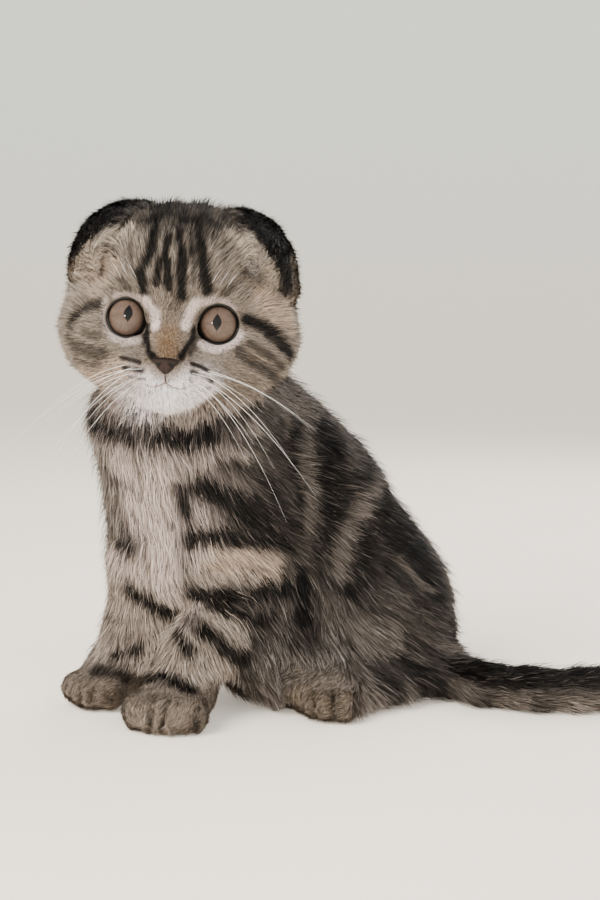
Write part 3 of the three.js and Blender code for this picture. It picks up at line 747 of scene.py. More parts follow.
def unseen_stripes(points, head, trunk, small, broad):
    """Tabby stripes over what the photo doesn't show: round the body, over the head, down the spine."""
    x, y, z = points.T
    hidden = np.clip(smooth(*BODY_TURNS_AWAY, y) + smooth(*RUMP_TURNS_AWAY, x), 0, 1)
    hidden = np.maximum(hidden, smooth(*HEAD_TURNS_AWAY, y) * head)
    along = points @ DOWN_THE_BACK
    stripes = smooth(-0.25, 0.45, np.sin(along * 2 * math.pi / STRIPE_STEP + 1.3 * broad + 0.4 * small))
    stripes = np.maximum(stripes, 0.45 * smooth(-0.2, 0.6, broad))
    across = in_head(points)[:, 0]
    head_stripes = smooth(-0.2, 0.5, np.cos(across * 2 * math.pi / HEAD_STRIPE_STEP + 1.1 * broad))
    from_spine = np.abs((points - SPINE_PLACE) @ ACROSS_SPINE)
    spine = (1 - smooth(*SPINE_HALF, from_spine)) * smooth(46, 60, y)
    bands = np.maximum(stripes * trunk, head_stripes * head) * hidden
    return np.maximum(0.95 * bands, 0.9 * spine * trunk)


def markings(points, weights):
    """Base colour and darkness of the coat at each point; some of both is painted shade."""
    small = noise(points, 3.2, 1)
    wobble = 0.9 * small + 0.5 * noise(points, 1.5, 2)
    broad = noise(points, 14, 3)
    head = share_of(weights, "head")
    ears = share_of(weights, "ear_left", "ear_right")
    forelegs = share_of(weights, "foreleg_left", "foreleg_right")
    trunk = share_of(weights, "neck", "torso", "hindleg_left", "hindleg_right")
    tail = share_of(weights, "tail_base", "tail_middle", "tail_tip")
    x, y, z = points.T
    cover = {
        name: painted(points, LINES[name], wave * wobble, edge)
        for name, (_, wave, edge) in MARKS.items()
    }

    # base colours: whole limbs, then the chest between the forelegs and the belly, then marks, with
    # painted shadow on the belly among them
    base = np.tile(BODY_FUR, (len(points), 1))
    base = mixed(base, HEAD_FUR, head)
    base = mixed(base, LEG_FUR, forelegs)
    base = mixed(base, PAW_FUR, share_of(weights, *PAW_NODES))
    chest = smooth(30, 8, y) * smooth(-8, -30, x) * smooth(-84, -66, x)
    base = mixed(base, BIB_FUR, 0.4 * chest * trunk)
    base = mixed(base, BELLY_FUR, 0.7 * smooth(30, 14, z) * trunk)
    base = mixed(base, BIB_FUR, cover["pale"])
    base = mixed(base, CHEEK_FUR, cover["warm"])
    # the belly is painted dark where its shadow falls
    base = mixed(base, BELLY_SHADOW_COLOUR, cover["under"])
    base = mixed(base, CHIN_WHITE, cover["chin"])
    base = mixed(base, TAN, 0.8 * cover["tan"])
    base = mixed(base, RING_PINK, cover["ring"])
    base = mixed(base, BROWN_FUR, cover["brown"])
    base = mixed(base, EAR_PALE, cover["flap"] * (ears + 0.6 * head))

    # dark marks, painted shade among them, each laid over or cut by the next
    dark = cover["dark"] * (1 - 0.85 * cover["pale"] * (1 - head))
    # painted shade over the flank, kept off the pale marks
    dark = np.maximum(dark, cover["shade"] * (1 - cover["pale"]))
    dark = np.maximum(dark, unseen_stripes(points, head, trunk, small, broad))
    crown = smooth(22, 29, in_head(points)[:, 2]) * head
    dark = np.maximum(dark, crown * (0.88 + 0.25 * small))
    rings = smooth(0.1, 0.6, np.sin(x / TAIL_RING + 0.9 * broad))
    dark = np.maximum(dark, tail * np.maximum(smooth(5, 12, z), rings * 0.6))
    dark = dark * (1 - 0.85 * cover["band"]) * (1 - 0.8 * cover["brown"])
    # the neck band and the painted shadow under an ear flap lie over the other marks
    dark = np.maximum(dark, cover["collar"])
    dark = np.maximum(dark, 0.95 * smooth(0.45, 0.75, ears) * (1 - cover["fold"]))
    dark = dark * (1 - cover["flap"])
    freckle = smooth(0.35, 0.75, small) * 0.35 * trunk
    dark = np.maximum(dark, freckle * (1 - cover["pale"]))
    dark = dark * (1 - 0.9 * cover["ring"]) * (1 - 0.95 * cover["chin"])
    dark = np.maximum(dark, cover["pads"])
    # painted shade in the gaps between the toes
    dark = np.maximum(dark, 0.9 * cover["toes"])
    return base, np.clip(dark, 0, 1)


# Lie of the coat: for each node, places and the way the hair lies there
LIE = {
    "neck": [
        ((-45, -4, 110), (0.05, -0.1, -1)),
        ((-10, 20, 110), (0.75, 0.4, -0.55)),
        ((10, 50, 112), (0.85, 0.3, -0.5)),
        ((-78, 25, 108), (-0.1, 0.35, -1)),
        ((-50, 70, 115), (0.3, 0.6, -0.9)),
    ],
    "torso": [
        ((-45, 4, 85), (0.1, -0.1, -1)),
        ((-40, 10, 50), (0.0, 0.0, -1)),
        ((-14, 12, 85), (0.7, 0.3, -0.6)),
        ((8, 20, 90), (0.95, 0.2, -0.35)),
        ((25, 25, 70), (0.95, 0.2, -0.3)),
        ((10, 20, 50), (0.8, 0.1, -0.6)),
        ((-10, 12, 16), (0.1, -0.2, -1)),
        ((-76, 35, 80), (-0.1, 0.3, -1)),
        ((-20, 75, 90), (0.6, 0.4, -0.8)),
        ((50, 60, 50), (0.45, 0.2, -1)),
    ],
    "foreleg_left": [((-14, 14, 60), (0.75, 0.2, -0.75)), ((-36, 5, 30), (0.35, 0.1, -1))],
    "foreleg_right": [((-72, 38, 60), (0.0, 0.1, -1)), ((-72, 36, 30), (-0.1, -0.1, -1))],
    "forepaw_left": [((-46, 4, 12), (-0.25, -1, -0.35))],
    "forepaw_right": [((-76, 28, 12), (-0.5, -0.85, -0.35))],
    "hindleg_left": [
        ((5, 22, 40), (0.2, -0.1, -1)),
        ((30, 22, 40), (0.85, 0.1, -0.6)),
        ((50, 38, 30), (0.9, 0.3, -0.5)),
        ((30, 20, 12), (0.7, 0.0, -0.6)),
    ],
    "hindleg_right": [((-20, 80, 40), (0.2, 0.2, -1)), ((20, 90, 30), (0.7, 0.2, -0.7))],
    "hindpaw_left": [((8, 12, 10), (-0.6, -0.8, -0.3))],
    "hindpaw_right": [((-20, 78, 10), (-1, -0.1, -0.3))],
    "tail_base": [((62, 34, 10), (0.6, -0.6, -0.1)), ((82, 22, 8), (1, -0.25, 0))],
    "tail_middle": [((98, 20, 8), (1, 0, 0))],
    "tail_tip": [((118, 24, 8), (1, 0.35, 0)), ((140, 38, 8), (0.8, 0.8, 0))],
}


def lie_of_coat(points, normals, weights):
    """The way the hair points at each place, along the skin."""
    total = np.zeros_like(points)
    for node, guides in LIE.items():
        here = weights[:, FLESH.index(node)]
        near = np.nonzero(here > 0.01)[0]
        if not len(near):
            continue
        p = points[near]
        way = np.zeros_like(p)
        share = np.zeros(len(p))
        for place, direction in guides:
            gap = np.linalg.norm(p - np.array(place), axis=1)
            weight = 1 / (gap + 4) ** 3
            way += weight[:, None] * unit(direction)
            share += weight
        total[near] += here[near, None] * way / share[:, None]
    local = in_head(points)
    from_nose = unit(local - PARTING)
    from_nose[:, 2] -= 0.35 * smooth(0, -20, local[:, 2]) * smooth(34, 10, local[:, 1])
    total += share_of(weights, "head")[:, None] * (unit(from_nose) @ HEAD_AXES)
    for side in (1, -1):
        by_eye = (points - eye_centre(side)) @ eye_axes(side).T
        off_axis = np.hypot(by_eye[:, 0], by_eye[:, 2])
        near = smooth(EYE_OPENING + 4, EYE_OPENING, off_axis) * (by_eye[:, 1] > 0)
        outward = unit(by_eye * [1, 0, 1]) @ eye_axes(side)
        total += 1.4 * near[:, None] * outward
    over = np.array([0.0, 1.0, -0.25])
    for node, side in (("ear_left", 1), ("ear_right", -1)):
        way = (over + [0.25 * side, 0, 0]) @ HEAD_AXES
        total += share_of(weights, node)[:, None] * unit(way)
    for axis in range(3):
        total[:, axis] += 0.2 * noise(points, 9, 30 + axis) + 0.12 * noise(points, 3.4, 40 + axis)
    flat = total - normals * np.sum(total * normals, axis=1, keepdims=True)
    return unit(flat)


skin_lie = lie_of_coat(skin_verts, skin_normals, skin_weights)


# Coat
def bare_places(points):
    """0 where no hair grows: on the eyes, their rims, the nose leather and under the floor."""
    keep = np.ones(len(points))
    for side in (1, -1):
        local = (points - eye_centre(side)) @ eye_axes(side).T
        off_axis = np.hypot(local[:, 0], local[:, 2])
        inside = (off_axis < EYE_OPENING + 0.45) & (local[:, 1] > 0)
        deep = np.linalg.norm(local, axis=1) < EYE_RADIUS + 0.3
        keep[inside | deep] = 0
    local = in_head(points)
    nose = nose_shape(local[:, 0], local[:, 2])
    keep[(nose > 0.0) & (local[:, 1] > 25)] = 0
    keep[points[:, 2] < 0.4] = 0
    return keep


def nose_shape(across, up):
    """Distance in from the edge of the nose leather, a triangle with rounded corners."""
    t = np.clip((up - NOSE_BOTTOM) / (NOSE_TOP - NOSE_BOTTOM), -1, 2)
    half = NOSE_HALF * np.clip(t, 0, 1) ** 0.75 + 0.35
    sides = half - np.abs(across)
    top = NOSE_TOP + 0.25 - 0.02 * across**2 - up
    bottom = up - NOSE_BOTTOM + 0.3
    return np.minimum(np.minimum(sides, top), bottom)


def coat_table(column):
    """One column of the coat's table, node by node."""
    return np.array([COAT[node][column] for node in FLESH])


def tuft_roots(count):
    """Seeded places on the skin, each a triangle and its corners' shares."""
    triangles = np.concatenate([skin_quads[:, [0, 1, 2]], skin_quads[:, [0, 2, 3]]])
    a, b, c = (skin_verts[triangles[:, k]] for k in range(3))
    area = np.linalg.norm(np.cross(b - a, c - a), axis=1) / 2
    centres = (a + b + c) / 3
    density = (skin_weights @ coat_table(4))[triangles].mean(axis=1)
    density = density * (1 + 0.9 * near_face(centres) * (centres[:, 2] > 110))
    density = density * bare_places(centres)
    seen_less = smooth(40, 70, centres[:, 1]) * (centres[:, 2] < 110)
    density = density * (1 - 0.3 * seen_less)
    chance = np.cumsum(area * density)
    picks = np.searchsorted(chance, rng.random(count) * chance[-1])
    u, v = rng.random(count), rng.random(count)
    flip = u + v > 1
    u[flip], v[flip] = 1 - u[flip], 1 - v[flip]
    shares = np.stack([1 - u - v, u, v], axis=1)
    return picks, triangles, shares


def blend_of(values, corners, shares):
    return sum(values[corners[:, k]] * shares[:, k, None] for k in range(3))


def tuft_lengths(points, weights, face):
    """Length of the hair: shortest by the nose and round the eyes."""
    length = weights @ coat_table(1)
    local = in_head(points)
    head = share_of(weights, "head")
    from_nose = np.linalg.norm(local - [0, 36, -18], axis=1)
    on_face = NOSE_HAIR + CHEEK_HAIR * smooth(8, 44, from_nose)
    on_face += CROWN_HAIR * smooth(26, 38, local[:, 2])
    on_face += JAW_HAIR * smooth(-22, -29, local[:, 2]) * smooth(12, 24, local[:, 1])
    for side in (1, -1):
        by_eye = (points - eye_centre(side)) @ eye_axes(side).T
        rim = smooth(EYE_OPENING + 3.5, EYE_OPENING, np.hypot(by_eye[:, 0], by_eye[:, 2]))
        on_face = on_face * (1 - 0.45 * rim * (by_eye[:, 1] > 0))
    return length * (1 - head) + on_face * head * (1 - 0.25 * face)


def tuft_colours(points, weights, count):
    """Colour of each hair and how dark a marking it belongs to."""
    base, dark = markings(points, weights)
    head = share_of(weights, "head") + share_of(weights, "ear_left", "ear_right")
    draw = rng.random(count)
    # single hairs of the other shade run through both the pale and the dark parts
    brow = head * smooth(2, 14, in_head(points)[:, 2])
    strand_dark = np.where(draw < DARK_HAIRS + BROW_TICKING * brow, np.maximum(dark, 0.75), dark)
    pale_hair = (draw > 1 - PALE_HAIRS) & (head < 0.5)
    strand_dark = np.where(pale_hair, dark * 0.5, strand_dark)
    strand_dark = np.clip(strand_dark + 0.22 * (rng.random(count) - 0.5), 0, 1)
    shade = 1 + SHADE_SPREAD * (rng.random(count) - 0.5)
    colour = base * shade[:, None]
    colour = colour + (DARK - colour) * (strand_dark**0.8)[:, None]
    return colour, strand_dark


def blades(roots, ways, normals, lengths, lifts, widths, colours, tips):
    """Flat hairs of three triangles, each bending down towards its tip."""
    count = len(roots)
    lift = lifts[:, None]
    rise = np.sin(lift) * normals + np.cos(lift) * ways
    fall = np.sin(lift * TIP_LIFT) * normals + np.cos(lift * TIP_LIFT) * ways
    spin = (rng.random(count)[:, None] - 0.5) * 1.3
    side = np.cross(ways, normals)
    side = unit(np.cos(spin) * side + np.sin(spin) * normals)
    half = widths[:, None] / 2
    base = roots - normals * ROOT_DEPTH
    middle = roots + rise * lengths[:, None] * BEND_AT
    tip = middle + fall * lengths[:, None] * (1 - BEND_AT)
    across = side * half
    bend = across * BEND_WIDTH
    points = np.stack([base - across, base + across, middle - bend, middle + bend, tip], axis=1)
    points[:, :, 2] = np.maximum(points[:, :, 2], FLOOR_GAP)
    # each hair is painted darker towards its root as shade deep in the coat; its tip takes its own colour
    paint = colours[:, None, :] * np.array(PAINTED_ROOT_SHADE)[None, :, None]
    paint[:, 4] = tips
    start = np.arange(count)[:, None] * 5
    faces = np.concatenate([start + [0, 1, 3], start + [0, 3, 2], start + [2, 3, 4]], axis=1)
    return points.reshape(-1, 3), faces.reshape(-1, 3), paint.reshape(-1, 3)


def skin_unwrap(obj):
    """Unwraps the skin by its own shape and returns the map's places, four to each quad."""
    bpy.context.view_layer.objects.active = obj
    for other in bpy.context.selected_objects:
        other.select_set(False)
    obj.select_set(True)
    obj.data.uv_layers.new(name="OFBake")
    bpy.ops.object.mode_set(mode="EDIT")
    bpy.ops.mesh.select_all(action="SELECT")
    bpy.ops.uv.smart_project(angle_limit=math.radians(66), island_margin=0.002)
    bpy.ops.object.mode_set(mode="OBJECT")
    places = np.zeros(len(obj.data.loops) * 2, np.float32)
    obj.data.uv_layers["OFBake"].data.foreach_get("uv", places)
    return places.reshape(-1, 4, 2)


def coat_map(obj, roots_uv):
    """Each tuft has its own small patch of the map, at its root's place on the skin's unwrap."""
    corner = np.array([[-1, -1], [1, -1], [-1, 0.3], [1, 0.3], [0, 1]]) * BAKE_PATCH / 2
    per_vertex = (roots_uv[:, None, :] + corner[None]).reshape(-1, 2)
    loops = np.zeros(len(obj.data.loops), np.int32)
    obj.data.loops.foreach_get("vertex_index", loops)
    layer = obj.data.uv_layers.new(name="OFBake")
    layer.data.foreach_set("uv", per_vertex[loops].astype(np.float32).ravel())


def grow_coat(unwrap):
    """All hairs of the coat, in pieces of a size that the export takes."""
    count = TUFTS
    picks, triangles, shares = tuft_roots(count)
    corners = triangles[picks]
    points = blend_of(skin_verts, corners, shares)
    normals = unit(blend_of(skin_normals, corners, shares))
    ways = unit(blend_of(skin_lie, corners, shares))
    weights = blend_of(skin_weights, corners, shares)
    face = near_face(points) * share_of(weights, "head")
    lengths = tuft_lengths(points, weights, face) * (0.62 + 0.6 * rng.random(count))
    guard = rng.random(count) < GUARD_SHARE
    lengths = lengths * np.where(guard, 1.25, 1)
    clump = noise(points, CLUMP_SIZE, 7)
    lifts = np.radians(weights @ coat_table(2)) * (1 + 0.45 * clump + 0.5 * (rng.random(count) - 0.5))
    crown = smooth(26, 38, in_head(points)[:, 2]) * share_of(weights, "head")
    ears = share_of(weights, "ear_left", "ear_right")
    lifts = lifts * (1 + 0.6 * crown + 0.5 * ears) * np.where(guard, 1.7, 1)
    lengths = lengths * (1 + 0.3 * ears)
    widths = weights @ coat_table(3) * (1 - 0.3 * face) * np.where(guard, 0.7, 1)
    # neighbouring hairs lean together into locks
    lean = np.stack([noise(points, LOCK_SIZE, 50 + k) for k in range(3)], axis=1)
    strength = LOCK_LEAN * (1 - 0.6 * face)
    ways = ways + lean * strength[:, None] + 0.16 * (rng.random((count, 3)) - 0.5)
    ways = unit(ways - normals * np.sum(ways * normals, axis=1, keepdims=True))
    # the outer half of each hair shows, so the markings are read there
    shown = points + ways * (lengths * SHOWN_PART)[:, None]
    colours, dark = tuft_colours(shown, weights, count)
    frost = (1 - dark) * FROST * rng.random(count) ** 2
    tips = colours + (CREAM - colours) * frost[:, None]
    ticked = (rng.random(count) < TICKED_SHARE) & (painted(shown, LINES["chin"], np.zeros(count)) < 0.2)
    tips = np.where(ticked[:, None], colours * 0.4, tips)
    quad = picks % len(skin_quads)
    second = picks >= len(skin_quads)
    order = np.where(second[:, None], [0, 2, 3], [0, 1, 2])
    roots_uv = sum(unwrap[quad, order[:, k]] * shares[:, k, None] for k in range(3))
    hair = painted_material("kitten hair", "coat_colour", 0.55, 0.14)
    per_piece = PIECE_TRIANGLES // 3
    # pieces run from the head down, so that each is one stretch of the coat
    level = points[:, 2] + 0.001 * points[:, 0]
    ordered = np.argsort(-level)
    for number, start in enumerate(range(0, count, per_piece)):
        take = ordered[start : start + per_piece]
        made = blades(
            points[take], ways[take], normals[take], lengths[take], lifts[take],
            widths[take], colours[take], tips[take],
        )
        obj = mesh_object(f"coat_{number + 1}", made[0], made[1])
        set_colours(obj, made[2])
        coat_map(obj, roots_uv[take])
        obj.data.materials.append(hair)


# Materials
def new_material(name, roughness, specular):
    material = bpy.data.materials.new(name)
    material.use_nodes = True
    shader = material.node_tree.nodes["Principled BSDF"]
    shader.inputs["Roughness"].default_value = roughness
    shader.inputs["Specular IOR Level"].default_value = specular
    return material, material.node_tree, shader


def plain_material(name, colour, roughness, specular=0.5):
    material, _, shader = new_material(name, roughness, specular)
    shader.inputs["Base Color"].default_value = (*colour, 1)
    return material


def painted_material(name, attribute, roughness, specular, glow=0.0):
    """A material that takes its colour from the mesh."""
    material, tree, shader = new_material(name, roughness, specular)
    colour = tree.nodes.new("ShaderNodeAttribute")
    colour.attribute_name = attribute
    tree.links.new(colour.outputs["Color"], shader.inputs["Base Color"])
    if glow:
        tree.links.new(colour.outputs["Color"], shader.inputs["Emission Color"])
        shader.inputs["Emission Strength"].default_value = glow
    return material


def skin_material():
    """The coat's colours over a fine grain, as of short under-fur."""
    material = painted_material("kitten skin", "coat_colour", 0.8, 0.2)
    tree = material.node_tree
    place = tree.nodes.new("ShaderNodeTexCoord")
    grain = tree.nodes.new("ShaderNodeTexNoise")
    grain.inputs["Scale"].default_value = 2200
    grain.inputs["Detail"].default_value = 3
    bump = tree.nodes.new("ShaderNodeBump")
    bump.inputs["Distance"].default_value = 0.0003
    bump.inputs["Strength"].default_value = 0.5
    tree.links.new(place.outputs["Object"], grain.inputs["Vector"])
    tree.links.new(grain.outputs["Fac"], bump.inputs["Height"])
    tree.links.new(bump.outputs["Normal"], tree.nodes["Principled BSDF"].inputs["Normal"])
    return material


def dress_skin():
    obj = mesh_object("skin", skin_verts, skin_quads)
    base, dark = markings(skin_verts, skin_weights)
    # the skin under the hairs gets half the coat's colour, and darker still under the marks: painted
    # shade deep in the coat
    colour = base * 0.5
    colour = colour + (DARK * 0.6 - colour) * dark[:, None]
    set_colours(obj, colour)
    obj.data.materials.append(skin_material())
    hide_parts(*FLESH)
    return obj


# Eyes
def eye_material():
    """The painted eyeball under a clear wet layer."""
    material = painted_material("kitten eye", "eye_colour", 0.5, 0.1)
    shader = material.node_tree.nodes["Principled BSDF"]
    shader.inputs["Coat Weight"].default_value = 1.0
    shader.inputs["Coat Roughness"].default_value = 0.02
    shader.inputs["Coat IOR"].default_value = 1.34
    return material


IRIS = srgb("#5f4d42")
IRIS_INNER = srgb("#493b32")
PUPIL = srgb("#030303")
EYE_RIM = srgb("#0d0a09")


def build_eye(side, material):
    """An eyeball with its cornea, painted with the iris, the slit pupil and a dark rim."""
    rings, around = 90, 128
    axes = eye_axes(side)
    angle = math.pi * np.linspace(0, 1, rings + 1) ** 1.7
    front = np.clip((np.cos(angle) - 0.55) / 0.45, 0, 1)
    radius = EYE_RADIUS + CORNEA_BULGE * front**2 * (3 - 2 * front) - 0.05
    turn = np.linspace(0, 2 * math.pi, around, endpoint=False)
    ring_radius = radius * np.sin(angle)
    ahead = radius * np.cos(angle)
    a = ring_radius[:, None] * np.cos(turn)
    c = ring_radius[:, None] * np.sin(turn)
    b = np.repeat(ahead[:, None], around, axis=1)
    local = np.stack([a, b, c], axis=2).reshape(-1, 3)
    verts = eye_centre(side) + local @ axes
    name = "eye_left_ball" if side > 0 else "eye_right_ball"
    obj = mesh_object(name, verts, grid_faces(rings + 1, around, cols_close=True))
    off = np.hypot(local[:, 0], local[:, 2])
    across = local[:, 0] - PUPIL_PLACE[side][0]
    up = local[:, 2] - PUPIL_PLACE[side][1]
    # a slit between two arcs that meet in points above and below
    waist = 1 - np.clip(np.abs(up) / PUPIL_HALF[1], 0, 1) ** 1.7
    slit = smooth(0.12, -0.12, np.abs(across) - PUPIL_HALF[0] * waist)
    spokes = noise(np.stack([np.arctan2(up, across) * 9, off * 0.5, off * 0], 1), 1.0, 5)
    mottle = noise(local, 0.9, 6)
    tone = np.clip(0.55 + 0.3 * spokes + 0.3 * mottle, 0, 1)[:, None]
    colour = IRIS_INNER + (IRIS - IRIS_INNER) * tone
    rim = smooth(*IRIS_EDGE, off)[:, None]
    colour = colour + (EYE_RIM - colour) * rim
    colour = colour + (PUPIL - colour) * slit[:, None]
    behind = local[:, 1] < 0
    colour[behind] = EYE_RIM
    set_colours(obj, colour, "eye_colour")
    obj.data.materials.append(material)
    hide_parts("eye_left" if side > 0 else "eye_right")
    return obj


def swept_ring(name, centres, axes_out, axes_up, radii, closed=True, sides=10):
    """A tube of varying oval section along places; each section lies in its own two axes."""
    count = len(centres)
    turn = np.linspace(0, 2 * math.pi, sides, endpoint=False)
    verts = (
        centres[:, None]
        + axes_out[:, None] * (radii[:, 0, None] * np.cos(turn))[:, :, None]
        + axes_up[:, None] * (radii[:, 1, None] * np.sin(turn))[:, :, None]
    ).reshape(-1, 3)
    return mesh_object(name, verts, grid_faces(count, sides, closed, cols_close=True))


def build_lid(side, material):
    """Dark rim of the lids, drawn out towards the nose as the corner of the eye."""
    steps = 120
    axes = eye_axes(side)
    turn = np.linspace(0, 2 * math.pi, steps, endpoint=False)
    corner_at = math.radians(208 if side > 0 else -28)
    towards = np.clip((np.cos(turn - corner_at) - 0.8) / 0.2, 0, 1) ** 1.6
    outer = np.clip((np.cos(turn - math.radians(20 if side > 0 else 160)) - 0.9) / 0.1, 0, 1)
    radius = (EYE_OPENING - 0.1) * (1 + 0.26 * towards + 0.07 * outer)
    half = LID_HALF + 0.75 * towards
    out = np.cos(turn)[:, None] * axes[0] + np.sin(turn)[:, None] * axes[2]
    ahead = np.sqrt(np.maximum((EYE_RADIUS + 0.25) ** 2 - np.minimum(radius, 8.3) ** 2, 2.0))
    centres = eye_centre(side) + out * radius[:, None] + axes[1] * ahead[:, None]
    radii = np.stack([half, np.full(steps, LID_HALF)], axis=1)
    name = "lid_left" if side > 0 else "lid_right"
    obj = swept_ring(name, centres, out, np.tile(axes[1], (steps, 1)), radii)
    obj.data.materials.append(material)
    return obj


# Nose and mouth
def face_place(across, up, proud=0.0):
    """The place on the skin straight ahead of the head's centre plane."""
    start = on_head(across, 70, up)
    hit = skin_tree.ray_cast(Vector(start), Vector(-HEAD_AXES[1]))
    place = np.array(hit[0]) if hit[0] is not None else on_head(across, 30, up)
    return place + HEAD_AXES[1] * proud


# dark of the nose leather's rim and nostrils: painted shade in the nostrils, and at the rim the leather's
# own dark outline deepened by painted shade where it rounds away
NOSE_RIM_AND_NOSTRIL_SHADE = srgb("#0a0605")
NOSE_MIDDLE = srgb("#2b1d19")


def build_nose(material):
    """The nose leather as a shell laid on the face, with its nostrils and the groove below them."""
    across = np.linspace(-NOSE_HALF - 0.6, NOSE_HALF + 0.6, 49)
    up = np.linspace(NOSE_BOTTOM - 0.5, NOSE_TOP + 0.5, 37)
    a, c = np.meshgrid(across, up, indexing="ij")
    verts, shades = [], []
    for x, z in zip(a.ravel(), c.ravel()):
        inward = float(nose_shape(x, z))
        proud = -0.5 + 1.25 * float(smooth(-0.4, 0.9, inward))
        slant = 0.5 * (abs(x) - 3)
        off_across = (abs(x) - NOSTRIL_PLACE[0]) / NOSTRIL_HALF[0]
        off_up = (z - NOSTRIL_PLACE[1] + slant) / NOSTRIL_HALF[1]
        slot = math.hypot(off_across, off_up)
        proud -= 0.3 * (1 - float(smooth(0.5, 1.2, slot)))
        proud -= 0.45 * math.exp(-((x / 0.35) ** 2)) * float(smooth(-17.4, -19.5, z))
        # the rim and the nostrils take the dark colour: painted shade in the nostrils, the leather's
        # outline with painted shade at the rim
        shades.append(float(smooth(0.1, 1.9, inward)) * float(smooth(0.7, 1.5, slot)))
        verts.append(face_place(x, z, proud))
    # turned about, so that the faces look ahead
    quads = grid_faces(len(across), len(up))[:, ::-1]
    obj = mesh_object("nose_leather", verts, quads)
    set_colours(obj, NOSE_RIM_AND_NOSTRIL_SHADE + (NOSE_MIDDLE - NOSE_RIM_AND_NOSTRIL_SHADE) * np.array(shades)[:, None], "nose_colour")
    obj.data.materials.append(material)
    return obj


def face_line(name, places, half, material, proud=0.05):
    """A thin line laid on the face through places across and up."""
    dense = []
    for (x0, z0), (x1, z1) in zip(places, places[1:]):
        for t in np.linspace(0, 1, 9)[:-1]:
            dense.append((x0 + (x1 - x0) * t, z0 + (z1 - z0) * t))
    dense.append(places[-1])
    centres = np.array([face_place(x, z, proud) for x, z in dense])
    way = unit(np.gradient(centres, axis=0))
    out = unit(np.cross(way, HEAD_AXES[1]))
    taper = np.sin(np.linspace(0.25, math.pi - 0.25, len(dense)))[:, None]
    radii = np.array([[half, half * 0.8]]) * taper
    obj = swept_ring(name, centres, out, np.tile(HEAD_AXES[1], (len(dense), 1)), radii, closed=False)
    obj.data.materials.append(material)
    return obj


def build_whiskers(material):
    """Long tapering hairs from the whisker pads and above the eyes."""
    verts, quads = [], []
    sides, steps = 5, 14
    starts = []
    for side in (1, -1):
        for row in range(3):
            for place in range(3):
                across = side * (7.0 + 3.0 * place + 0.8 * row)
                up = -20.2 - 2.1 * row + 0.5 * place
                length = 22 + 14 * rng.random() + 4 * place
                starts.append((across, up, side, length, -0.15 - 0.25 * row, WHISKER_HALF))
        for place in range(3):
            across = side * (12 + 2.6 * place)
            length = 12 + 6 * rng.random()
            starts.append((across, 8.5 - 0.4 * place, side, length, 1.2, BROW_HAIR_HALF))
    for across, up, side, length, rise, thick in starts:
        root = face_place(across, up, -0.5)
        way = np.array([side * 1.0, 0.05 + 0.25 * rng.random(), rise + 0.3 * (rng.random() - 0.5)])
        way = unit(way @ HEAD_AXES)
        if rise > 1:
            way = unit(np.array([side * 0.5, 0.35, 1.0]) @ HEAD_AXES)
            length = length * 0.8
        drop = np.array([0, 0, -1.0]) * (0.5 + 0.6 * rng.random()) * length * (0.15 if rise > 1 else 0.6)
        t = np.linspace(0, 1, steps)[:, None]
        line = root + way * length * t + drop * t**2
        tangent = unit(np.gradient(line, axis=0))
        out = unit(np.cross(tangent, [0.2, 1, 0.1]))
        up_axis = np.cross(tangent, out)
        radius = thick * (1 - 0.85 * t)
        turn = np.linspace(0, 2 * math.pi, sides, endpoint=False)
        ring = line[:, None] + radius[:, None] * (
            out[:, None] * np.cos(turn)[None, :, None] + up_axis[:, None] * np.sin(turn)[None, :, None]
        )
        start = len(verts) * sides * steps
        verts.append(ring.reshape(-1, 3))
        quads.append(grid_faces(steps, sides, cols_close=True) + start)
    verts = np.concatenate(verts)
    verts[:, 2] = np.maximum(verts[:, 2], 0.2)
    obj = mesh_object("whiskers", verts, np.concatenate(quads))
    obj.data.materials.append(material)
    return obj


def build_kitten():
    skin = dress_skin()
    unwrap = skin_unwrap(skin)
    grow_coat(unwrap)
    eye = eye_material()
    lid = plain_material("eyelid rim", srgb("#120e0c"), 0.35)
    leather = painted_material("nose leather", "nose_colour", 0.5, 0.2)
    lip = plain_material("lip line", srgb("#7d6560"), 0.6)
    dark_lip = plain_material("philtrum", srgb("#3a2a28"), 0.6)
    hair = plain_material("whisker", srgb("#f2eee8"), 0.4)
    for side in (1, -1):
        build_eye(side, eye)
        build_lid(side, lid)
    build_nose(leather)
    face_line("mouth_line", MOUTH, 0.2, lip, 0.4)
    face_line("philtrum", PHILTRUM, 0.32, dark_lip, 0.55)
    build_whiskers(hair)


# Stage, light and camera
FLOOR_CREAM = srgb("#f6ecdd")
WALL_GREY = srgb("#eceee9")


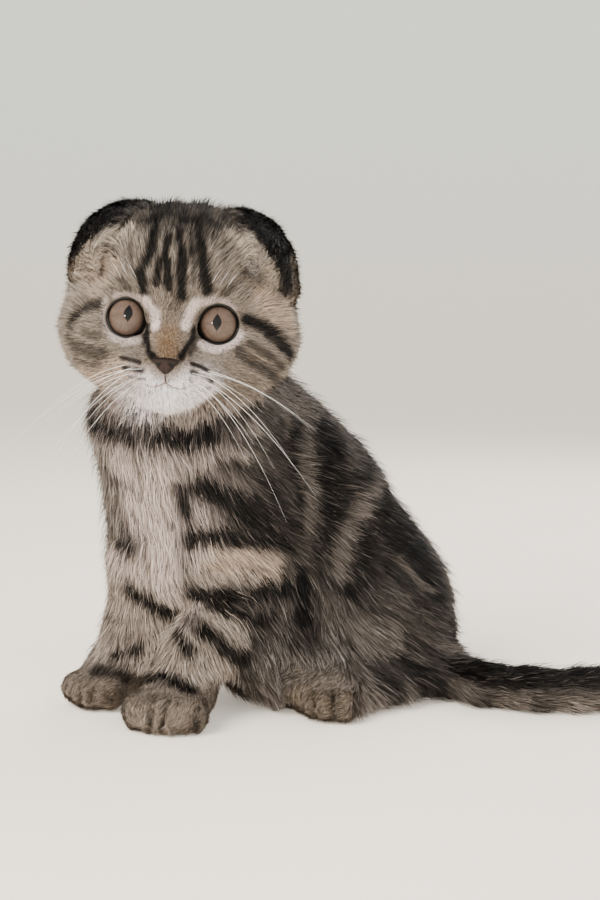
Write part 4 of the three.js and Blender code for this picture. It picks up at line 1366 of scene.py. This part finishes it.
def build_stage():
    """A pale round floor that sweeps up into a pale wall on every side."""
    profile = [(0.0, 0.0), (FLOOR_RADIUS * 0.5, 0.0), (FLOOR_RADIUS, 0.0)]
    for step in range(1, 13):
        angle = math.pi / 2 * step / 12
        profile.append((FLOOR_RADIUS + SWEEP * math.sin(angle), SWEEP * (1 - math.cos(angle))))
    profile.append((FLOOR_RADIUS + SWEEP, WALL_HEIGHT))
    around = 72
    turn = np.linspace(0, 2 * math.pi, around, endpoint=False)
    verts = [(r * math.cos(a), r * math.sin(a), z) for r, z in profile for a in turn]
    quads = grid_faces(len(profile), around, cols_close=True)
    obj = mesh_object("floor", np.array(verts), quads, body=None)
    share = smooth(20, 700, np.array(verts)[:, 2])[:, None]
    set_colours(obj, FLOOR_CREAM + (WALL_GREY - FLOOR_CREAM) * share, "floor_colour")
    obj.data.materials.append(painted_material("floor", "floor_colour", 0.8, 0.2, FLOOR_GLOW))


def area_light(name, place, target, size, power, colour=(1, 1, 1), glossy=False):
    """A round lamp that looks at the target; only a glossy one shows in the eyes."""
    data = bpy.data.lights.new(name, "AREA")
    data.shape = "DISK"
    data.size = size
    data.energy = power
    data.color = colour
    obj = bpy.data.objects.new(name, data)
    bpy.context.scene.collection.objects.link(obj)
    obj.location = Vector(to_row(place))
    way = Vector(to_row(target)) - obj.location
    obj.rotation_euler = way.to_track_quat("-Z", "Y").to_euler()
    obj.visible_glossy = glossy
    return obj


def build_light():
    world = bpy.data.worlds.new("studio")
    world.use_nodes = True
    world.node_tree.nodes["Background"].inputs["Color"].default_value = (0.93, 0.95, 1.0, 1)
    world.node_tree.nodes["Background"].inputs["Strength"].default_value = 0.85
    bpy.context.scene.world = world
    middle = (0, 30, 90)
    area_light("key", (-620, -520, 760), middle, 0.7, 19, (1.0, 0.97, 0.93))
    area_light("fill", (700, -500, 420), middle, 1.0, 6, (0.95, 0.97, 1.0))
    area_light("catch", (-222, -457, 201), (-43, -7, 146), 0.045, 0.5, glossy=True)
    area_light("rim", (350, 560, 600), middle, 0.8, 5, (1.0, 0.98, 0.95), glossy=True)


def build_camera():
    data = bpy.data.cameras.new("camera")
    data.lens = FOCAL_PX * SENSOR / PICTURE[1]
    data.sensor_width = SENSOR
    data.clip_start = 0.01
    obj = bpy.data.objects.new("camera", data)
    bpy.context.scene.collection.objects.link(obj)
    obj.location = Vector(to_row(CAMERA_PLACE))
    obj.rotation_euler = (math.pi / 2 - CAMERA_PITCH, 0, 0)
    bpy.context.scene.camera = obj


build_kitten()
build_stage()
build_light()
build_camera()
